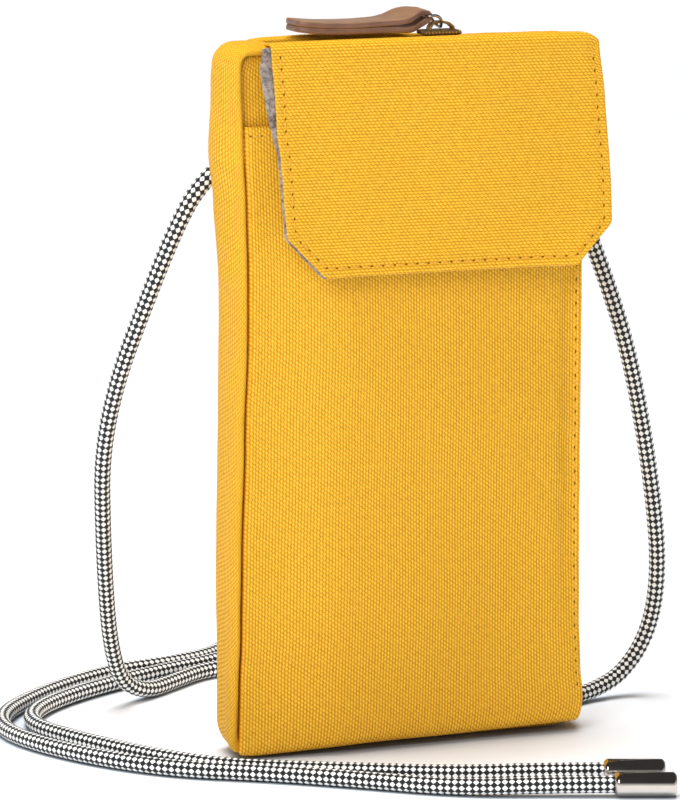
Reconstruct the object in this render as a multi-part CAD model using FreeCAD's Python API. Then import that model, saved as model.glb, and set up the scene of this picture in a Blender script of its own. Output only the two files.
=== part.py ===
import FreeCAD, Part
import math
import os

# Zipped phone pouch of woven canvas with a front slip pocket, a felt-lined flap and a braided carrying cord.
# Millimetres. X to the right seen from the front, Y to the back, Z up, origin under the middle of the base.

# Pouch body
BODY_W = 105.0
BODY_H = 196.0
BODY_D = 20.0
CORNER_R = 8.0
CLOTH_T = 1.4
SEAM_INSET = 2.5
BACK_ROLL = 5.0
SEAM_GAP = 0.15

# Front wall of the main compartment, set back behind the front seam
PANEL_RECESS = 3.0

# Front slip pocket
POCKET_DROP = 22.0
POCKET_CROWN = 5.5
POCKET_HEM_CROWN = 3.3
POCKET_SIDE_CROWN = 4.2
POCKET_SIDE_BAND = 10.0
POCKET_SIDE_BULGE = 0.7
POCKET_BASE_ROLL = 12.0
POCKET_ROLL_FULLNESS_SHARE = 0.25
POCKET_SLOPE_L = 54.0
POCKET_T = 1.2

# Lining bag of the main compartment
LINING_T = 0.5
LINING_GAP = 0.15
LINING_TOP_DROP = 6.0

# Zip in the top
ZIP_Y = -1.5
ZIP_SLOT_W = 7.4
TOP_SEAM_SET = 2.5
TAPE_TUCK = 2.0
TAPE_W = 3.2
TAPE_T = 0.8
TOOTH_PITCH = 2.0
TOOTH_L = 1.1
TOOTH_W = 1.9
TOOTH_H = 1.9
TOOTH_ROUND_SHARE = 0.25
CHAIN_GAP = 1.6
STOP_L = 2.2
STOP_GAP = 0.3

# Zip slider
SLIDER_X = 10.5
SLIDER_L = 11.0
SLIDER_W = 6.7
SLIDER_PLATE_T = 1.1
SLIDER_NOSE_R = 2.0
SLIDER_RUN_GAP = 0.3
FLANGE_W = 0.4
FLANGE_DROP = 0.5
WEDGE_L = 3.0
WEDGE_W = 1.0
BRIDGE_L = 6.6
BRIDGE_W = 1.8
BRIDGE_H = 3.4
BRIDGE_R = 1.4
BRIDGE_EYE_RISE = 1.75

# Wire loop and leather pull on the slider
WIRE_D = 1.0
WIRE_GAP = 0.35
LOOP_L = 6.0
LOOP_W = 8.4
LOOP_CORNER_R = 1.4
LOOP_RISE_DEG = 31.0
STRAP_REACH = 38.7
STRAP_LAYER_T = 1.75
STRAP_TIP_T = 3.2
STRAP_TIP_DROP = 0.6
STRAP_MID_T = 3.8
STRAP_SAG = 1.5
STRAP_W = 13.0
STRAP_NECK_W = 5.2
STRAP_TIP_W = 7.0
STRAP_WIDE_FROM = 11.0

# Front flap
FLAP_LEFT = -42.5
FLAP_RIGHT = 54.0
FLAP_L = 63.5
FLAP_CLOTH_T = 1.3
FELT_T = 1.1
FLAP_CHAMFER = 11.0
FLAP_SLANT_DEG = 8.0
FLAP_GAP = 0.4
FLAP_HINGE_RISE = 0.7
FLAP_ROOT_T = 1.3
FLAP_ROOT_GAP = 0.3
FLAP_ROOT_SET = 0.2

# Magnet pair that keeps the flap shut
MAGNET_R = 6.0
MAGNET_T = 0.7
MAGNET_FROM_EDGE = 13.0
MAGNET_SEAT_GAP = 0.05
POCKET_MAGNET_SET = 0.15

# Cord, its tunnel on the back and its end caps
CORD_D = 4.8
TUNNEL_DROP = 33.0
TUNNEL_L = 70.0
TUNNEL_CLEAR = 0.3
TUNNEL_T = 1.2
TUNNEL_FLANGE = 5.0
TUNNEL_FLANGE_T = 1.0
CORD_TUNNEL_END = 2.0
CAP_D = 6.7
CAP_L = 16.4
CAP_BORE_DEPTH = 9.0
CAP_BORE_GAP = 0.05
CAP_LEAD = 14.0
CAP_RIM = 0.5
CAP_HEADING_DEG = -21.6
FLOOR_GAP = 0.05

OVERRUN = 5.0
SAME_PLACE = 1e-4

X_AXIS = FreeCAD.Vector(1, 0, 0)
Y_AXIS = FreeCAD.Vector(0, 1, 0)

HALF_W = BODY_W / 2
TOP_STRIP_L = BODY_W - 2 * (CORNER_R + TOP_SEAM_SET)
FRONT_Y = -BODY_D / 2
BACK_Y = BODY_D / 2
CORD_R = CORD_D / 2
LIE_Z = CORD_R + FLOOR_GAP
CAP_Z = CAP_D / 2 + FLOOR_GAP


def vec(x, y, z):
    return FreeCAD.Vector(x, y, z)


def box(x0, x1, y0, y1, z0, z1):
    return Part.makeBox(x1 - x0, y1 - y0, z1 - z0, vec(x0, y0, z0))


def rounded_prism(half_w, z0, z1, radius, y0, y1):
    """Slab with a rounded-rectangle front outline, from y0 to y1."""
    slab = box(-half_w, half_w, y0, y1, z0, z1)
    corners = [e for e in slab.Edges if abs(e.tangentAt(e.FirstParameter).y) > 1 - SAME_PLACE]
    return slab.makeFillet(radius, corners)


def roll_edges(solid, y, radius):
    """Rounds the outline edges that lie in the plane at y."""
    edges = [e for e in solid.Edges if max(abs(e.BoundBox.YMin - y), abs(e.BoundBox.YMax - y)) < SAME_PLACE]
    return solid.makeFillet(radius, edges)


def body_block(inset):
    """The pouch's filled outside form, drawn in by inset all round."""
    front, back = FRONT_Y + inset, BACK_Y - inset
    block = rounded_prism(HALF_W - inset, inset, BODY_H - inset, CORNER_R - inset, front, back)
    block = roll_edges(block, front, SEAM_INSET - inset)
    return roll_edges(block, back, BACK_ROLL - inset)


def wall_opening(inset, y0, y1, gap=0):
    """Prism of the opening that a front or back panel closes."""
    edge = inset + gap
    return rounded_prism(HALF_W - edge, edge, BODY_H - edge, CORNER_R - edge, y0, y1)


# Canvas body
def gusset_shell():
    shell = body_block(0).cut(body_block(CLOTH_T))
    front = wall_opening(SEAM_INSET, FRONT_Y - OVERRUN, FRONT_Y + CLOTH_T)
    back = wall_opening(BACK_ROLL, BACK_Y - CLOTH_T, BACK_Y + OVERRUN)
    return shell.cut(front).cut(back)


def top_region(half_l, y0, y1):
    return box(-half_l, half_l, y0, y1, BODY_H - BACK_ROLL, BODY_H + OVERRUN)


def gusset_band(shell):
    half_l = TOP_STRIP_L / 2 + SEAM_GAP
    return shell.cut(top_region(half_l, FRONT_Y - OVERRUN, BACK_Y + OVERRUN))


def zip_strip(shell, side):
    edge = ZIP_Y + side * ZIP_SLOT_W / 2
    far = side * (BODY_D / 2 + OVERRUN)
    return shell.common(top_region(TOP_STRIP_L / 2, min(edge, far), max(edge, far)))


def back_panel():
    return wall_opening(BACK_ROLL, BACK_Y - CLOTH_T, BACK_Y, SEAM_GAP)


PANEL_Y = FRONT_Y + PANEL_RECESS
PANEL_TOP = BODY_H - CLOTH_T - TAPE_T - SEAM_GAP


def front_panel():
    edge = CLOTH_T + SEAM_GAP
    panel = rounded_prism(HALF_W - edge, edge, BODY_H - edge, CORNER_R - edge, PANEL_Y, PANEL_Y + CLOTH_T)
    return panel.cut(box(-HALF_W, HALF_W, FRONT_Y, BACK_Y, PANEL_TOP, BODY_H + OVERRUN))


def main_lining():
    def bag(inset, top):
        edge = CLOTH_T + LINING_GAP + inset
        front = PANEL_Y + CLOTH_T + LINING_GAP + inset
        block = rounded_prism(HALF_W - edge, edge, BODY_H - edge, CORNER_R - edge, front, BACK_Y - edge)
        block = roll_edges(block, BACK_Y - edge, BACK_ROLL - edge)
        return block.common(box(-HALF_W, HALF_W, FRONT_Y, BACK_Y, 0, top))

    top = BODY_H - LINING_TOP_DROP
    return bag(0, top).cut(bag(LINING_T, top + OVERRUN))


# Front slip pocket: a shallow crowned tray, open at its top and towards the pouch
POCKET_TOP = BODY_H - POCKET_DROP
POCKET_SLOPE_START = POCKET_TOP - POCKET_SLOPE_L
POCKET_HALF_W = HALF_W - SEAM_INSET - SEAM_GAP
POCKET_BACK_Y = FRONT_Y + CLOTH_T


def pocket_form(inset):
    half = POCKET_HALF_W - inset
    side = half - POCKET_SIDE_BAND
    mid_x = half - POCKET_SIDE_BAND / 2
    side_y = FRONT_Y - POCKET_SIDE_CROWN + inset
    crown_y = FRONT_Y - POCKET_CROWN + inset
    edge_y = FRONT_Y + inset
    mid_y = (side_y + edge_y) / 2 - POCKET_SIDE_BULGE
    arcs = [
        Part.Arc(vec(-half, edge_y, 0), vec(-mid_x, mid_y, 0), vec(-side, side_y, 0)),
        Part.Arc(vec(-side, side_y, 0), vec(0, crown_y, 0), vec(side, side_y, 0)),
        Part.Arc(vec(side, side_y, 0), vec(mid_x, mid_y, 0), vec(half, edge_y, 0)),
        Part.LineSegment(vec(half, edge_y, 0), vec(half, POCKET_BACK_Y + inset, 0)),
        Part.LineSegment(vec(half, POCKET_BACK_Y + inset, 0), vec(-half, POCKET_BACK_Y + inset, 0)),
        Part.LineSegment(vec(-half, POCKET_BACK_Y + inset, 0), vec(-half, edge_y, 0)),
    ]
    across = Part.Face(Part.Wire([a.toShape() for a in arcs])).extrude(vec(0, 0, BODY_H))

    base_z = SEAM_INSET + SEAM_GAP + inset
    roll_z = base_z + POCKET_BASE_ROLL
    roll_mid_z = (base_z + roll_z) / 2 - POCKET_BASE_ROLL * POCKET_ROLL_FULLNESS_SHARE
    roll_mid = vec(0, (crown_y + edge_y) / 2 - POCKET_SIDE_BULGE, roll_mid_z)
    top = POCKET_TOP if inset == 0 else POCKET_TOP + OVERRUN
    hem_y = FRONT_Y - POCKET_HEM_CROWN + inset
    sides = [
        Part.LineSegment(vec(0, POCKET_BACK_Y + inset, base_z), vec(0, edge_y, base_z)),
        Part.Arc(vec(0, edge_y, base_z), roll_mid, vec(0, crown_y, roll_z)),
        Part.LineSegment(vec(0, crown_y, roll_z), vec(0, crown_y, POCKET_SLOPE_START)),
        Part.LineSegment(vec(0, crown_y, POCKET_SLOPE_START), vec(0, hem_y, top)),
        Part.LineSegment(vec(0, hem_y, top), vec(0, POCKET_BACK_Y + inset, top)),
        Part.LineSegment(vec(0, POCKET_BACK_Y + inset, top), vec(0, POCKET_BACK_Y + inset, base_z)),
    ]
    profile = Part.Face(Part.Wire([s.toShape() for s in sides]))
    profile.translate(vec(-BODY_W, 0, 0))
    outline = wall_opening(SEAM_INSET + inset, FRONT_Y - POCKET_CROWN - OVERRUN, BACK_Y, SEAM_GAP)
    return across.common(profile.extrude(vec(2 * BODY_W, 0, 0))).common(outline)


def pocket_panel():
    return pocket_form(0).cut(pocket_form(POCKET_T))


# Zip
TAPE_TOP = BODY_H - CLOTH_T
TAPE_HALF_L = TOP_STRIP_L / 2 + TAPE_TUCK
CHAIN_Z = TAPE_TOP - TAPE_T / 2
CHAIN_EDGE = CHAIN_GAP / 2 + TOOTH_W
STOP_END = TOP_STRIP_L / 2 - STOP_GAP
CHAIN_END = STOP_END - STOP_L - TOOTH_PITCH / 2


def zip_tape(side):
    inner = ZIP_Y + side * CHAIN_EDGE
    outer = ZIP_Y + side * (CHAIN_EDGE + TAPE_W)
    return box(-TAPE_HALF_L, TAPE_HALF_L, min(inner, outer), max(inner, outer), TAPE_TOP - TAPE_T, TAPE_TOP)


def chain_block(x0, x1, side):
    tip = ZIP_Y + side * CHAIN_GAP / 2
    heel = ZIP_Y + side * CHAIN_EDGE
    return box(x0, x1, min(tip, heel), max(tip, heel), CHAIN_Z - TOOTH_H / 2, CHAIN_Z + TOOTH_H / 2)


def zip_teeth(side):
    start = -CHAIN_END + (TOOTH_PITCH / 2 if side > 0 else 0)
    count = int(2 * CHAIN_END / TOOTH_PITCH) - 1
    teeth = []
    for i in range(count):
        x = start + i * TOOTH_PITCH
        tooth = chain_block(x, x + TOOTH_L, side)
        tops = [e for e in tooth.Edges if abs(e.tangentAt(e.FirstParameter).y) > 1 - SAME_PLACE]
        teeth.append(tooth.makeFillet(TOOTH_L * TOOTH_ROUND_SHARE, tops))
    return Part.makeCompound(teeth)


def zip_stops():
    low, high = CHAIN_Z - TOOTH_H / 2, CHAIN_Z + TOOTH_H / 2
    bottom_stop = box(-STOP_END, STOP_L - STOP_END, ZIP_Y - CHAIN_EDGE, ZIP_Y + CHAIN_EDGE, low, high)
    ends = [chain_block(STOP_END - STOP_L, STOP_END, side) for side in (-1, 1)]
    return Part.makeCompound([bottom_stop] + ends)


# Slider with its bridge
CHAIN_TOP = CHAIN_Z + TOOTH_H / 2
CHAIN_BOTTOM = CHAIN_Z - TOOTH_H / 2
SLIDER_TOP = CHAIN_TOP + SLIDER_RUN_GAP + SLIDER_PLATE_T
EYE = vec(SLIDER_X, ZIP_Y, SLIDER_TOP + BRIDGE_EYE_RISE)


def slider_plate(z0):
    x0, x1 = SLIDER_X - SLIDER_L / 2, SLIDER_X + SLIDER_L / 2
    plate = box(x0, x1, ZIP_Y - SLIDER_W / 2, ZIP_Y + SLIDER_W / 2, z0, z0 + SLIDER_PLATE_T)
    corners = [e for e in plate.Edges if abs(e.tangentAt(e.FirstParameter).z) > 1 - SAME_PLACE]
    return plate.makeFillet(SLIDER_NOSE_R, corners)


def slider_flanges(z0, z1):
    x0, x1 = SLIDER_X - SLIDER_L / 2 + SLIDER_NOSE_R, SLIDER_X + SLIDER_L / 2 - SLIDER_NOSE_R
    rims = []
    for side in (-1, 1):
        outer = ZIP_Y + side * SLIDER_W / 2
        inner = outer - side * FLANGE_W
        rims.append(box(x0, x1, min(inner, outer), max(inner, outer), z0, z1))
    return rims


def zip_slider():
    low = CHAIN_BOTTOM - SLIDER_RUN_GAP - SLIDER_PLATE_T
    top_under = SLIDER_TOP - SLIDER_PLATE_T
    low_over = low + SLIDER_PLATE_T
    wedge_end = SLIDER_X + SLIDER_L / 2 - FLANGE_W
    wedge = box(wedge_end - WEDGE_L, wedge_end, ZIP_Y - WEDGE_W / 2, ZIP_Y + WEDGE_W / 2, low, SLIDER_TOP)
    bridge = box(SLIDER_X - BRIDGE_L / 2, SLIDER_X + BRIDGE_L / 2, ZIP_Y - BRIDGE_W / 2, ZIP_Y + BRIDGE_W / 2,
                 SLIDER_TOP - SLIDER_PLATE_T / 2, SLIDER_TOP + BRIDGE_H)
    crown = [e for e in bridge.Edges if abs(e.tangentAt(e.FirstParameter).y) > 1 - SAME_PLACE
             and abs(e.BoundBox.ZMax - SLIDER_TOP - BRIDGE_H) < SAME_PLACE]
    bridge = bridge.makeFillet(BRIDGE_R, crown)
    body = slider_plate(low).fuse([slider_plate(top_under), wedge, bridge])
    body = body.fuse(slider_flanges(top_under - FLANGE_DROP, top_under + FLANGE_W))
    body = body.fuse(slider_flanges(low_over - FLANGE_W, low_over + FLANGE_DROP))
    eye = Part.makeCylinder(WIRE_D / 2 + WIRE_GAP, SLIDER_W, vec(EYE.x, ZIP_Y - SLIDER_W / 2, EYE.z), Y_AXIS)
    return body.removeSplitter().cut(eye)


# Wire loop through the bridge, leaning to the left
LOOP_RISE = math.radians(LOOP_RISE_DEG)
LOOP_WAY = vec(-math.cos(LOOP_RISE), 0, math.sin(LOOP_RISE))
PIVOT = EYE + LOOP_WAY * LOOP_L


def pull_ring():
    half = LOOP_W / 2
    corner = LOOP_CORNER_R
    turn = corner * (1 - math.cos(math.pi / 4))

    def at(along, across):
        return EYE + LOOP_WAY * along + Y_AXIS * across

    edges = []
    ends = [(0, 1), (LOOP_L, -1)]
    for along, way in ends:
        edges.append(Part.LineSegment(at(along, -half + corner), at(along, half - corner)))
        for side in (-1, 1):
            edges.append(Part.Arc(at(along, side * (half - corner)),
                                  at(along + way * turn, side * (half - turn)),
                                  at(along + way * corner, side * half)))
    for side in (-1, 1):
        edges.append(Part.LineSegment(at(corner, side * half), at(LOOP_L - corner, side * half)))
    path = Part.Wire(Part.__sortEdges__([e.toShape() for e in edges]))
    section = Part.Wire([Part.Circle(EYE, Y_AXIS, WIRE_D / 2).toShape()])
    return path.makePipeShell([section], True, False)


# Leather pull: one strap folded round the wire, its two layers sewn flat together
FOLD_R = WIRE_D / 2 + WIRE_GAP + STRAP_LAYER_T
TIP_X = PIVOT.x - STRAP_REACH
TIP_Z = PIVOT.z - STRAP_TIP_DROP


def pull_strap():
    mid_x = PIVOT.x - STRAP_REACH / 2
    mid_z = (PIVOT.z + TIP_Z) / 2 - STRAP_SAG
    top = vec(PIVOT.x, ZIP_Y, PIVOT.z + FOLD_R)
    bottom = vec(PIVOT.x, ZIP_Y, PIVOT.z - FOLD_R)
    tip_top = vec(TIP_X, ZIP_Y, TIP_Z + STRAP_TIP_T / 2)
    tip_bottom = vec(TIP_X, ZIP_Y, TIP_Z - STRAP_TIP_T / 2)
    edges = [
        Part.Arc(top, vec(PIVOT.x + FOLD_R, ZIP_Y, PIVOT.z), bottom),
        Part.Arc(bottom, vec(mid_x, ZIP_Y, mid_z - STRAP_MID_T / 2), tip_bottom),
        Part.LineSegment(tip_bottom, tip_top),
        Part.Arc(tip_top, vec(mid_x, ZIP_Y, mid_z + STRAP_MID_T / 2), top),
    ]
    side = Part.Face(Part.Wire([e.toShape() for e in edges]))
    side.translate(vec(0, -STRAP_W, 0))
    strap = side.extrude(vec(0, 2 * STRAP_W, 0))

    neck_x = PIVOT.x - FOLD_R
    wide_x = PIVOT.x - STRAP_WIDE_FROM
    outline = []
    for way in (1, -1):
        half = [(PIVOT.x + FOLD_R, STRAP_NECK_W / 2), (neck_x, STRAP_NECK_W / 2), (wide_x, STRAP_W / 2),
                (TIP_X, STRAP_TIP_W / 2)]
        points = [vec(x, ZIP_Y + way * y, 0) for x, y in half]
        outline += points if way > 0 else points[::-1]
    plan = Part.Face(Part.makePolygon(outline + outline[:1])).extrude(vec(0, 0, 2 * BODY_H))
    eye_start = vec(PIVOT.x, ZIP_Y - STRAP_W / 2, PIVOT.z)
    eye = Part.makeCylinder(WIRE_D / 2 + WIRE_GAP, STRAP_W, eye_start, Y_AXIS)
    return strap.common(plan).cut(eye)


# Flap, hung from a fold along the top front edge
FLAP_T = FLAP_CLOTH_T + FELT_T
HINGE = vec(0, FRONT_Y - FLAP_GAP - FLAP_T / 2, BODY_H + FLAP_HINGE_RISE)


def flap_layer(top, y0, y1):
    """One layer of the flap hanging straight down from the fold, its lower corners cut off."""
    cut = FLAP_CHAMFER
    points = [(FLAP_LEFT, top), (FLAP_LEFT, -FLAP_L + cut), (FLAP_LEFT + cut, -FLAP_L),
              (FLAP_RIGHT - cut, -FLAP_L), (FLAP_RIGHT, -FLAP_L + cut), (FLAP_RIGHT, top)]
    corners = [vec(x, y0, z) for x, z in points]
    return Part.Face(Part.makePolygon(corners + corners[:1])).extrude(vec(0, y1 - y0, 0))


def on_fold(shape):
    """Places a shape that hangs from the origin on the fold, at the flap's slant."""
    shape.rotate(vec(0, 0, 0), X_AXIS, -FLAP_SLANT_DEG)
    shape.translate(HINGE)
    return shape


FLAP_FACE_Y = -FLAP_T / 2
FELT_Y = FLAP_FACE_Y + FLAP_CLOTH_T
MAGNET_X = (FLAP_LEFT + FLAP_RIGHT) / 2
MAGNET_DROP = FLAP_L - MAGNET_FROM_EDGE


def magnet_seat(gap):
    seat = vec(MAGNET_X, FELT_Y, -MAGNET_DROP)
    return Part.makeCylinder(MAGNET_R + gap, MAGNET_T + gap, seat, Y_AXIS)


def flap_outer():
    fold = Part.makeCylinder(FLAP_T / 2, FLAP_RIGHT - FLAP_LEFT, vec(FLAP_LEFT, 0, 0), X_AXIS)
    return on_fold(flap_layer(0, FLAP_FACE_Y, FELT_Y).fuse(fold).removeSplitter())


def flap_lining():
    return on_fold(flap_layer(-FLAP_T / 2 - SEAM_GAP, FELT_Y, FLAP_T / 2).cut(magnet_seat(MAGNET_SEAT_GAP)))


def flap_magnet():
    return on_fold(magnet_seat(0))


def flap_root():
    """The flap's edge, sewn flat on the front top strip."""
    front = HINGE.y + FLAP_T / 2 + FLAP_ROOT_GAP
    back = ZIP_Y - ZIP_SLOT_W / 2 - FLAP_ROOT_SET
    return box(FLAP_LEFT, HALF_W - CORNER_R, front, back, BODY_H, BODY_H + FLAP_ROOT_T)


def pocket_magnet():
    """Keeper disc behind the pocket's cloth, facing the flap's magnet."""
    z = HINGE.z - MAGNET_DROP * math.cos(math.radians(FLAP_SLANT_DEG))
    climb = max(0, z + MAGNET_R - POCKET_SLOPE_START) / (POCKET_TOP - POCKET_SLOPE_START)
    crown = POCKET_CROWN + (POCKET_HEM_CROWN - POCKET_CROWN) * climb
    y = FRONT_Y - crown + POCKET_T + POCKET_MAGNET_SET
    return Part.makeCylinder(MAGNET_R, MAGNET_T, vec(MAGNET_X, y, z), Y_AXIS)


# Cord tunnel: an arch of canvas sewn flat above and below the cord, across the back
TUNNEL_Z = BODY_H - TUNNEL_DROP
TUNNEL_BORE_R = CORD_R + TUNNEL_CLEAR
CORD_Y = BACK_Y + TUNNEL_BORE_R


def cord_tunnel():
    half = TUNNEL_L / 2
    start = vec(-half, CORD_Y, TUNNEL_Z)
    arch_r = TUNNEL_BORE_R + TUNNEL_T
    arch = Part.makeCylinder(arch_r, TUNNEL_L, start, X_AXIS)
    legs = box(-half, half, BACK_Y, CORD_Y, TUNNEL_Z - arch_r, TUNNEL_Z + arch_r)
    reach = arch_r + TUNNEL_FLANGE
    flange = box(-half, half, BACK_Y, BACK_Y + TUNNEL_FLANGE_T, TUNNEL_Z - reach, TUNNEL_Z + reach)
    bore = Part.makeCylinder(TUNNEL_BORE_R, TUNNEL_L, start, X_AXIS)
    slot = box(-half, half, BACK_Y - OVERRUN, CORD_Y, TUNNEL_Z - TUNNEL_BORE_R, TUNNEL_Z + TUNNEL_BORE_R)
    behind = box(-half, half, BACK_Y - OVERRUN - arch_r, BACK_Y, TUNNEL_Z - reach, TUNNEL_Z + reach)
    return arch.fuse([legs, flange]).cut(bore).cut(slot).cut(behind).removeSplitter()


CORD_START = TUNNEL_L / 2 + CORD_TUNNEL_END


def cord_in_tunnel():
    return Part.makeCylinder(CORD_R, 2 * CORD_START, vec(-CORD_START, CORD_Y, TUNNEL_Z), X_AXIS)


# Free stretches of the cord: out of the tunnel, down to the floor, round behind the pouch and to the front
CAP_HEADING = math.radians(CAP_HEADING_DEG)
CAP_WAY = vec(math.cos(CAP_HEADING), math.sin(CAP_HEADING), 0)
REAR_MOUTH = vec(31.2, -68.6, CAP_Z)
FRONT_MOUTH = vec(27.8, -83.4, CAP_Z)

LEFT_ROUTE = [
    (-CORD_START, CORD_Y, TUNNEL_Z), (-46.5, 12.9, 162.0), (-54.5, 13.6, 155.0), (-60.5, 15.5, 143.0),
    (-67.5, 20.0, 122.5), (-73.5, 27.0, 100.5), (-75.2, 34.5, 79.0), (-72.0, 43.5, 58.0),
    (-68.0, 53.0, 37.0), (-64.0, 61.0, 20.0), (-58.5, 68.0, 7.0), (-49.5, 72.5, LIE_Z),
    (-38.0, 82.0, LIE_Z), (-24.5, 93.5, LIE_Z), (-8.5, 95.5, LIE_Z), (8.0, 89.5, LIE_Z),
    (23.5, 91.0, LIE_Z), (32.0, 103.0, LIE_Z), (29.5, 117.5, LIE_Z), (17.0, 125.0, LIE_Z),
    (2.5, 119.5, LIE_Z), (-15.5, 104.5, LIE_Z), (-35.0, 97.0, LIE_Z), (-56.0, 86.0, LIE_Z),
    (-75.0, 73.0, LIE_Z), (-88.5, 58.5, LIE_Z), (-93.0, 43.5, LIE_Z), (-88.5, 27.0, LIE_Z),
    (-81.0, 9.0, LIE_Z), (-72.4, -7.5, LIE_Z), (-61.4, -21.5, LIE_Z), (-46.6, -31.4, LIE_Z),
    (-29.4, -40.6, LIE_Z), (-5.5, -53.5, LIE_Z),
    tuple(REAR_MOUTH - CAP_WAY * CAP_LEAD), tuple(REAR_MOUTH + CAP_WAY * CAP_BORE_DEPTH),
]
RIGHT_ROUTE = [
    (CORD_START, CORD_Y, TUNNEL_Z), (46.5, 12.9, 162.0), (55.0, 13.6, 154.0), (61.5, 14.2, 139.5),
    (68.5, 15.0, 123.0), (75.5, 16.5, 104.5), (81.4, 18.7, 82.5), (86.5, 21.3, 59.0), (89.8, 24.2, 37.0),
    (88.5, 26.8, 19.5), (81.0, 28.0, 6.8), (69.0, 25.0, LIE_Z), (54.0, 18.0, LIE_Z), (36.5, 20.5, LIE_Z),
    (28.0, 37.5, LIE_Z), (33.5, 59.0, LIE_Z), (43.5, 78.0, LIE_Z), (51.0, 98.0, LIE_Z), (48.5, 118.5, LIE_Z),
    (34.0, 133.5, LIE_Z), (14.0, 136.5, LIE_Z), (-3.0, 126.5, LIE_Z), (-15.5, 112.0, LIE_Z),
    (-31.5, 105.0, LIE_Z), (-49.0, 101.5, LIE_Z), (-68.0, 89.5, LIE_Z), (-85.0, 74.0, LIE_Z),
    (-98.0, 57.5, LIE_Z), (-102.5, 40.0, LIE_Z), (-98.5, 20.0, LIE_Z), (-87.5, -3.0, LIE_Z),
    (-72.5, -21.5, LIE_Z), (-52.0, -34.0, LIE_Z), (-32.0, -50.0, LIE_Z), (-10.5, -68.6, LIE_Z),
    tuple(FRONT_MOUTH - CAP_WAY * CAP_LEAD), tuple(FRONT_MOUTH + CAP_WAY * CAP_BORE_DEPTH),
]
ARC_SHARE = 0.45


def cord_tube(name, route):
    """Round tube along straight runs joined by tangent arcs, each as large as its runs allow."""
    points = [vec(*p) for p in route]
    edges = []
    radii = []
    start = points[0]
    for before, corner, after in zip(points, points[1:], points[2:]):
        back, on = before - corner, after - corner
        reach = ARC_SHARE * min(back.Length, on.Length)
        back.normalize()
        on.normalize()
        half = back.getAngle(on) / 2
        radius = reach * math.tan(half)
        middle = back + on
        middle.normalize()
        centre = corner + middle * (reach / math.cos(half))
        enter, leave = corner + back * reach, corner + on * reach
        edges.append(Part.LineSegment(start, enter))
        edges.append(Part.Arc(enter, centre - middle * radius, leave))
        radii.append(radius)
        start = leave
    edges.append(Part.LineSegment(start, points[-1]))
    path = Part.Wire([e.toShape() for e in edges])
    section = Part.Wire([Part.Circle(points[0], points[1] - points[0], CORD_R).toShape()])
    tube = path.makePipeShell([section], True, False)
    expected = math.pi * CORD_R ** 2 * path.Length
    print(name, "length", round(path.Length, 1), "least radius", round(min(radii), 1), "volume ratio",
          round(tube.Volume / expected, 5), "lowest", round(tube.optimalBoundingBox(True).ZMin, 3))
    print("  radii", [round(r, 1) for r in radii])
    return tube


def end_cap(mouth):
    """Polished round cap crimped on the cord's end, with a turned rim at each end."""
    cap = Part.makeCylinder(CAP_D / 2, CAP_L, mouth, CAP_WAY)
    rims = [e for e in cap.Edges if e.Closed and isinstance(e.Curve, Part.Circle)]
    cap = cap.makeFillet(CAP_RIM, rims)
    bore = Part.makeCylinder(CORD_R + CAP_BORE_GAP, CAP_BORE_DEPTH + CAP_BORE_GAP, mouth, CAP_WAY)
    return cap.cut(bore)


def main():
    os.makedirs("parts", exist_ok=True)
    shell = gusset_shell()
    nodes = {
        "gusset_band": gusset_band(shell),
        "back_panel": back_panel(),
        "front_panel": front_panel(),
        "pocket_panel": pocket_panel(),
        "main_lining": main_lining(),
        "zip_strip_front": zip_strip(shell, -1),
        "zip_strip_back": zip_strip(shell, 1),
        "zip_tape_front": zip_tape(-1),
        "zip_tape_back": zip_tape(1),
        "zip_teeth_front": zip_teeth(-1),
        "zip_teeth_back": zip_teeth(1),
        "zip_stops": zip_stops(),
        "zip_slider": zip_slider(),
        "pull_ring": pull_ring(),
        "pull_strap": pull_strap(),
        "flap_outer": flap_outer(),
        "flap_lining": flap_lining(),
        "flap_magnet": flap_magnet(),
        "flap_root": flap_root(),
        "pocket_magnet": pocket_magnet(),
        "cord_tunnel": cord_tunnel(),
        "cord_in_tunnel": cord_in_tunnel(),
        "cord_left": cord_tube("cord_left", LEFT_ROUTE),
        "cord_right": cord_tube("cord_right", RIGHT_ROUTE),
        "end_cap_rear": end_cap(REAR_MOUTH),
        "end_cap_front": end_cap(FRONT_MOUTH),
    }
    for name, shape in nodes.items():
        shape.exportStep("parts/" + name + ".step")
        print(name, "solids", len(shape.Solids), "valid", shape.isValid(), "volume", round(shape.Volume, 1))
    print("flap fold", [round(v, 3) for v in HINGE], "loop eye", [round(v, 3) for v in EYE],
          "pull pivot", [round(v, 3) for v in PIVOT])


main()
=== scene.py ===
"""Dresses the frame of a canvas phone pouch with cloth, braided cord, leather and metal."""
import math

import bmesh
import bpy
from bpy.props import FloatProperty, FloatVectorProperty, IntProperty, PointerProperty
from bpy.types import Node, NodeSocket, Operator, Panel, PropertyGroup
from mathutils import Matrix, Vector, noise


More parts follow.
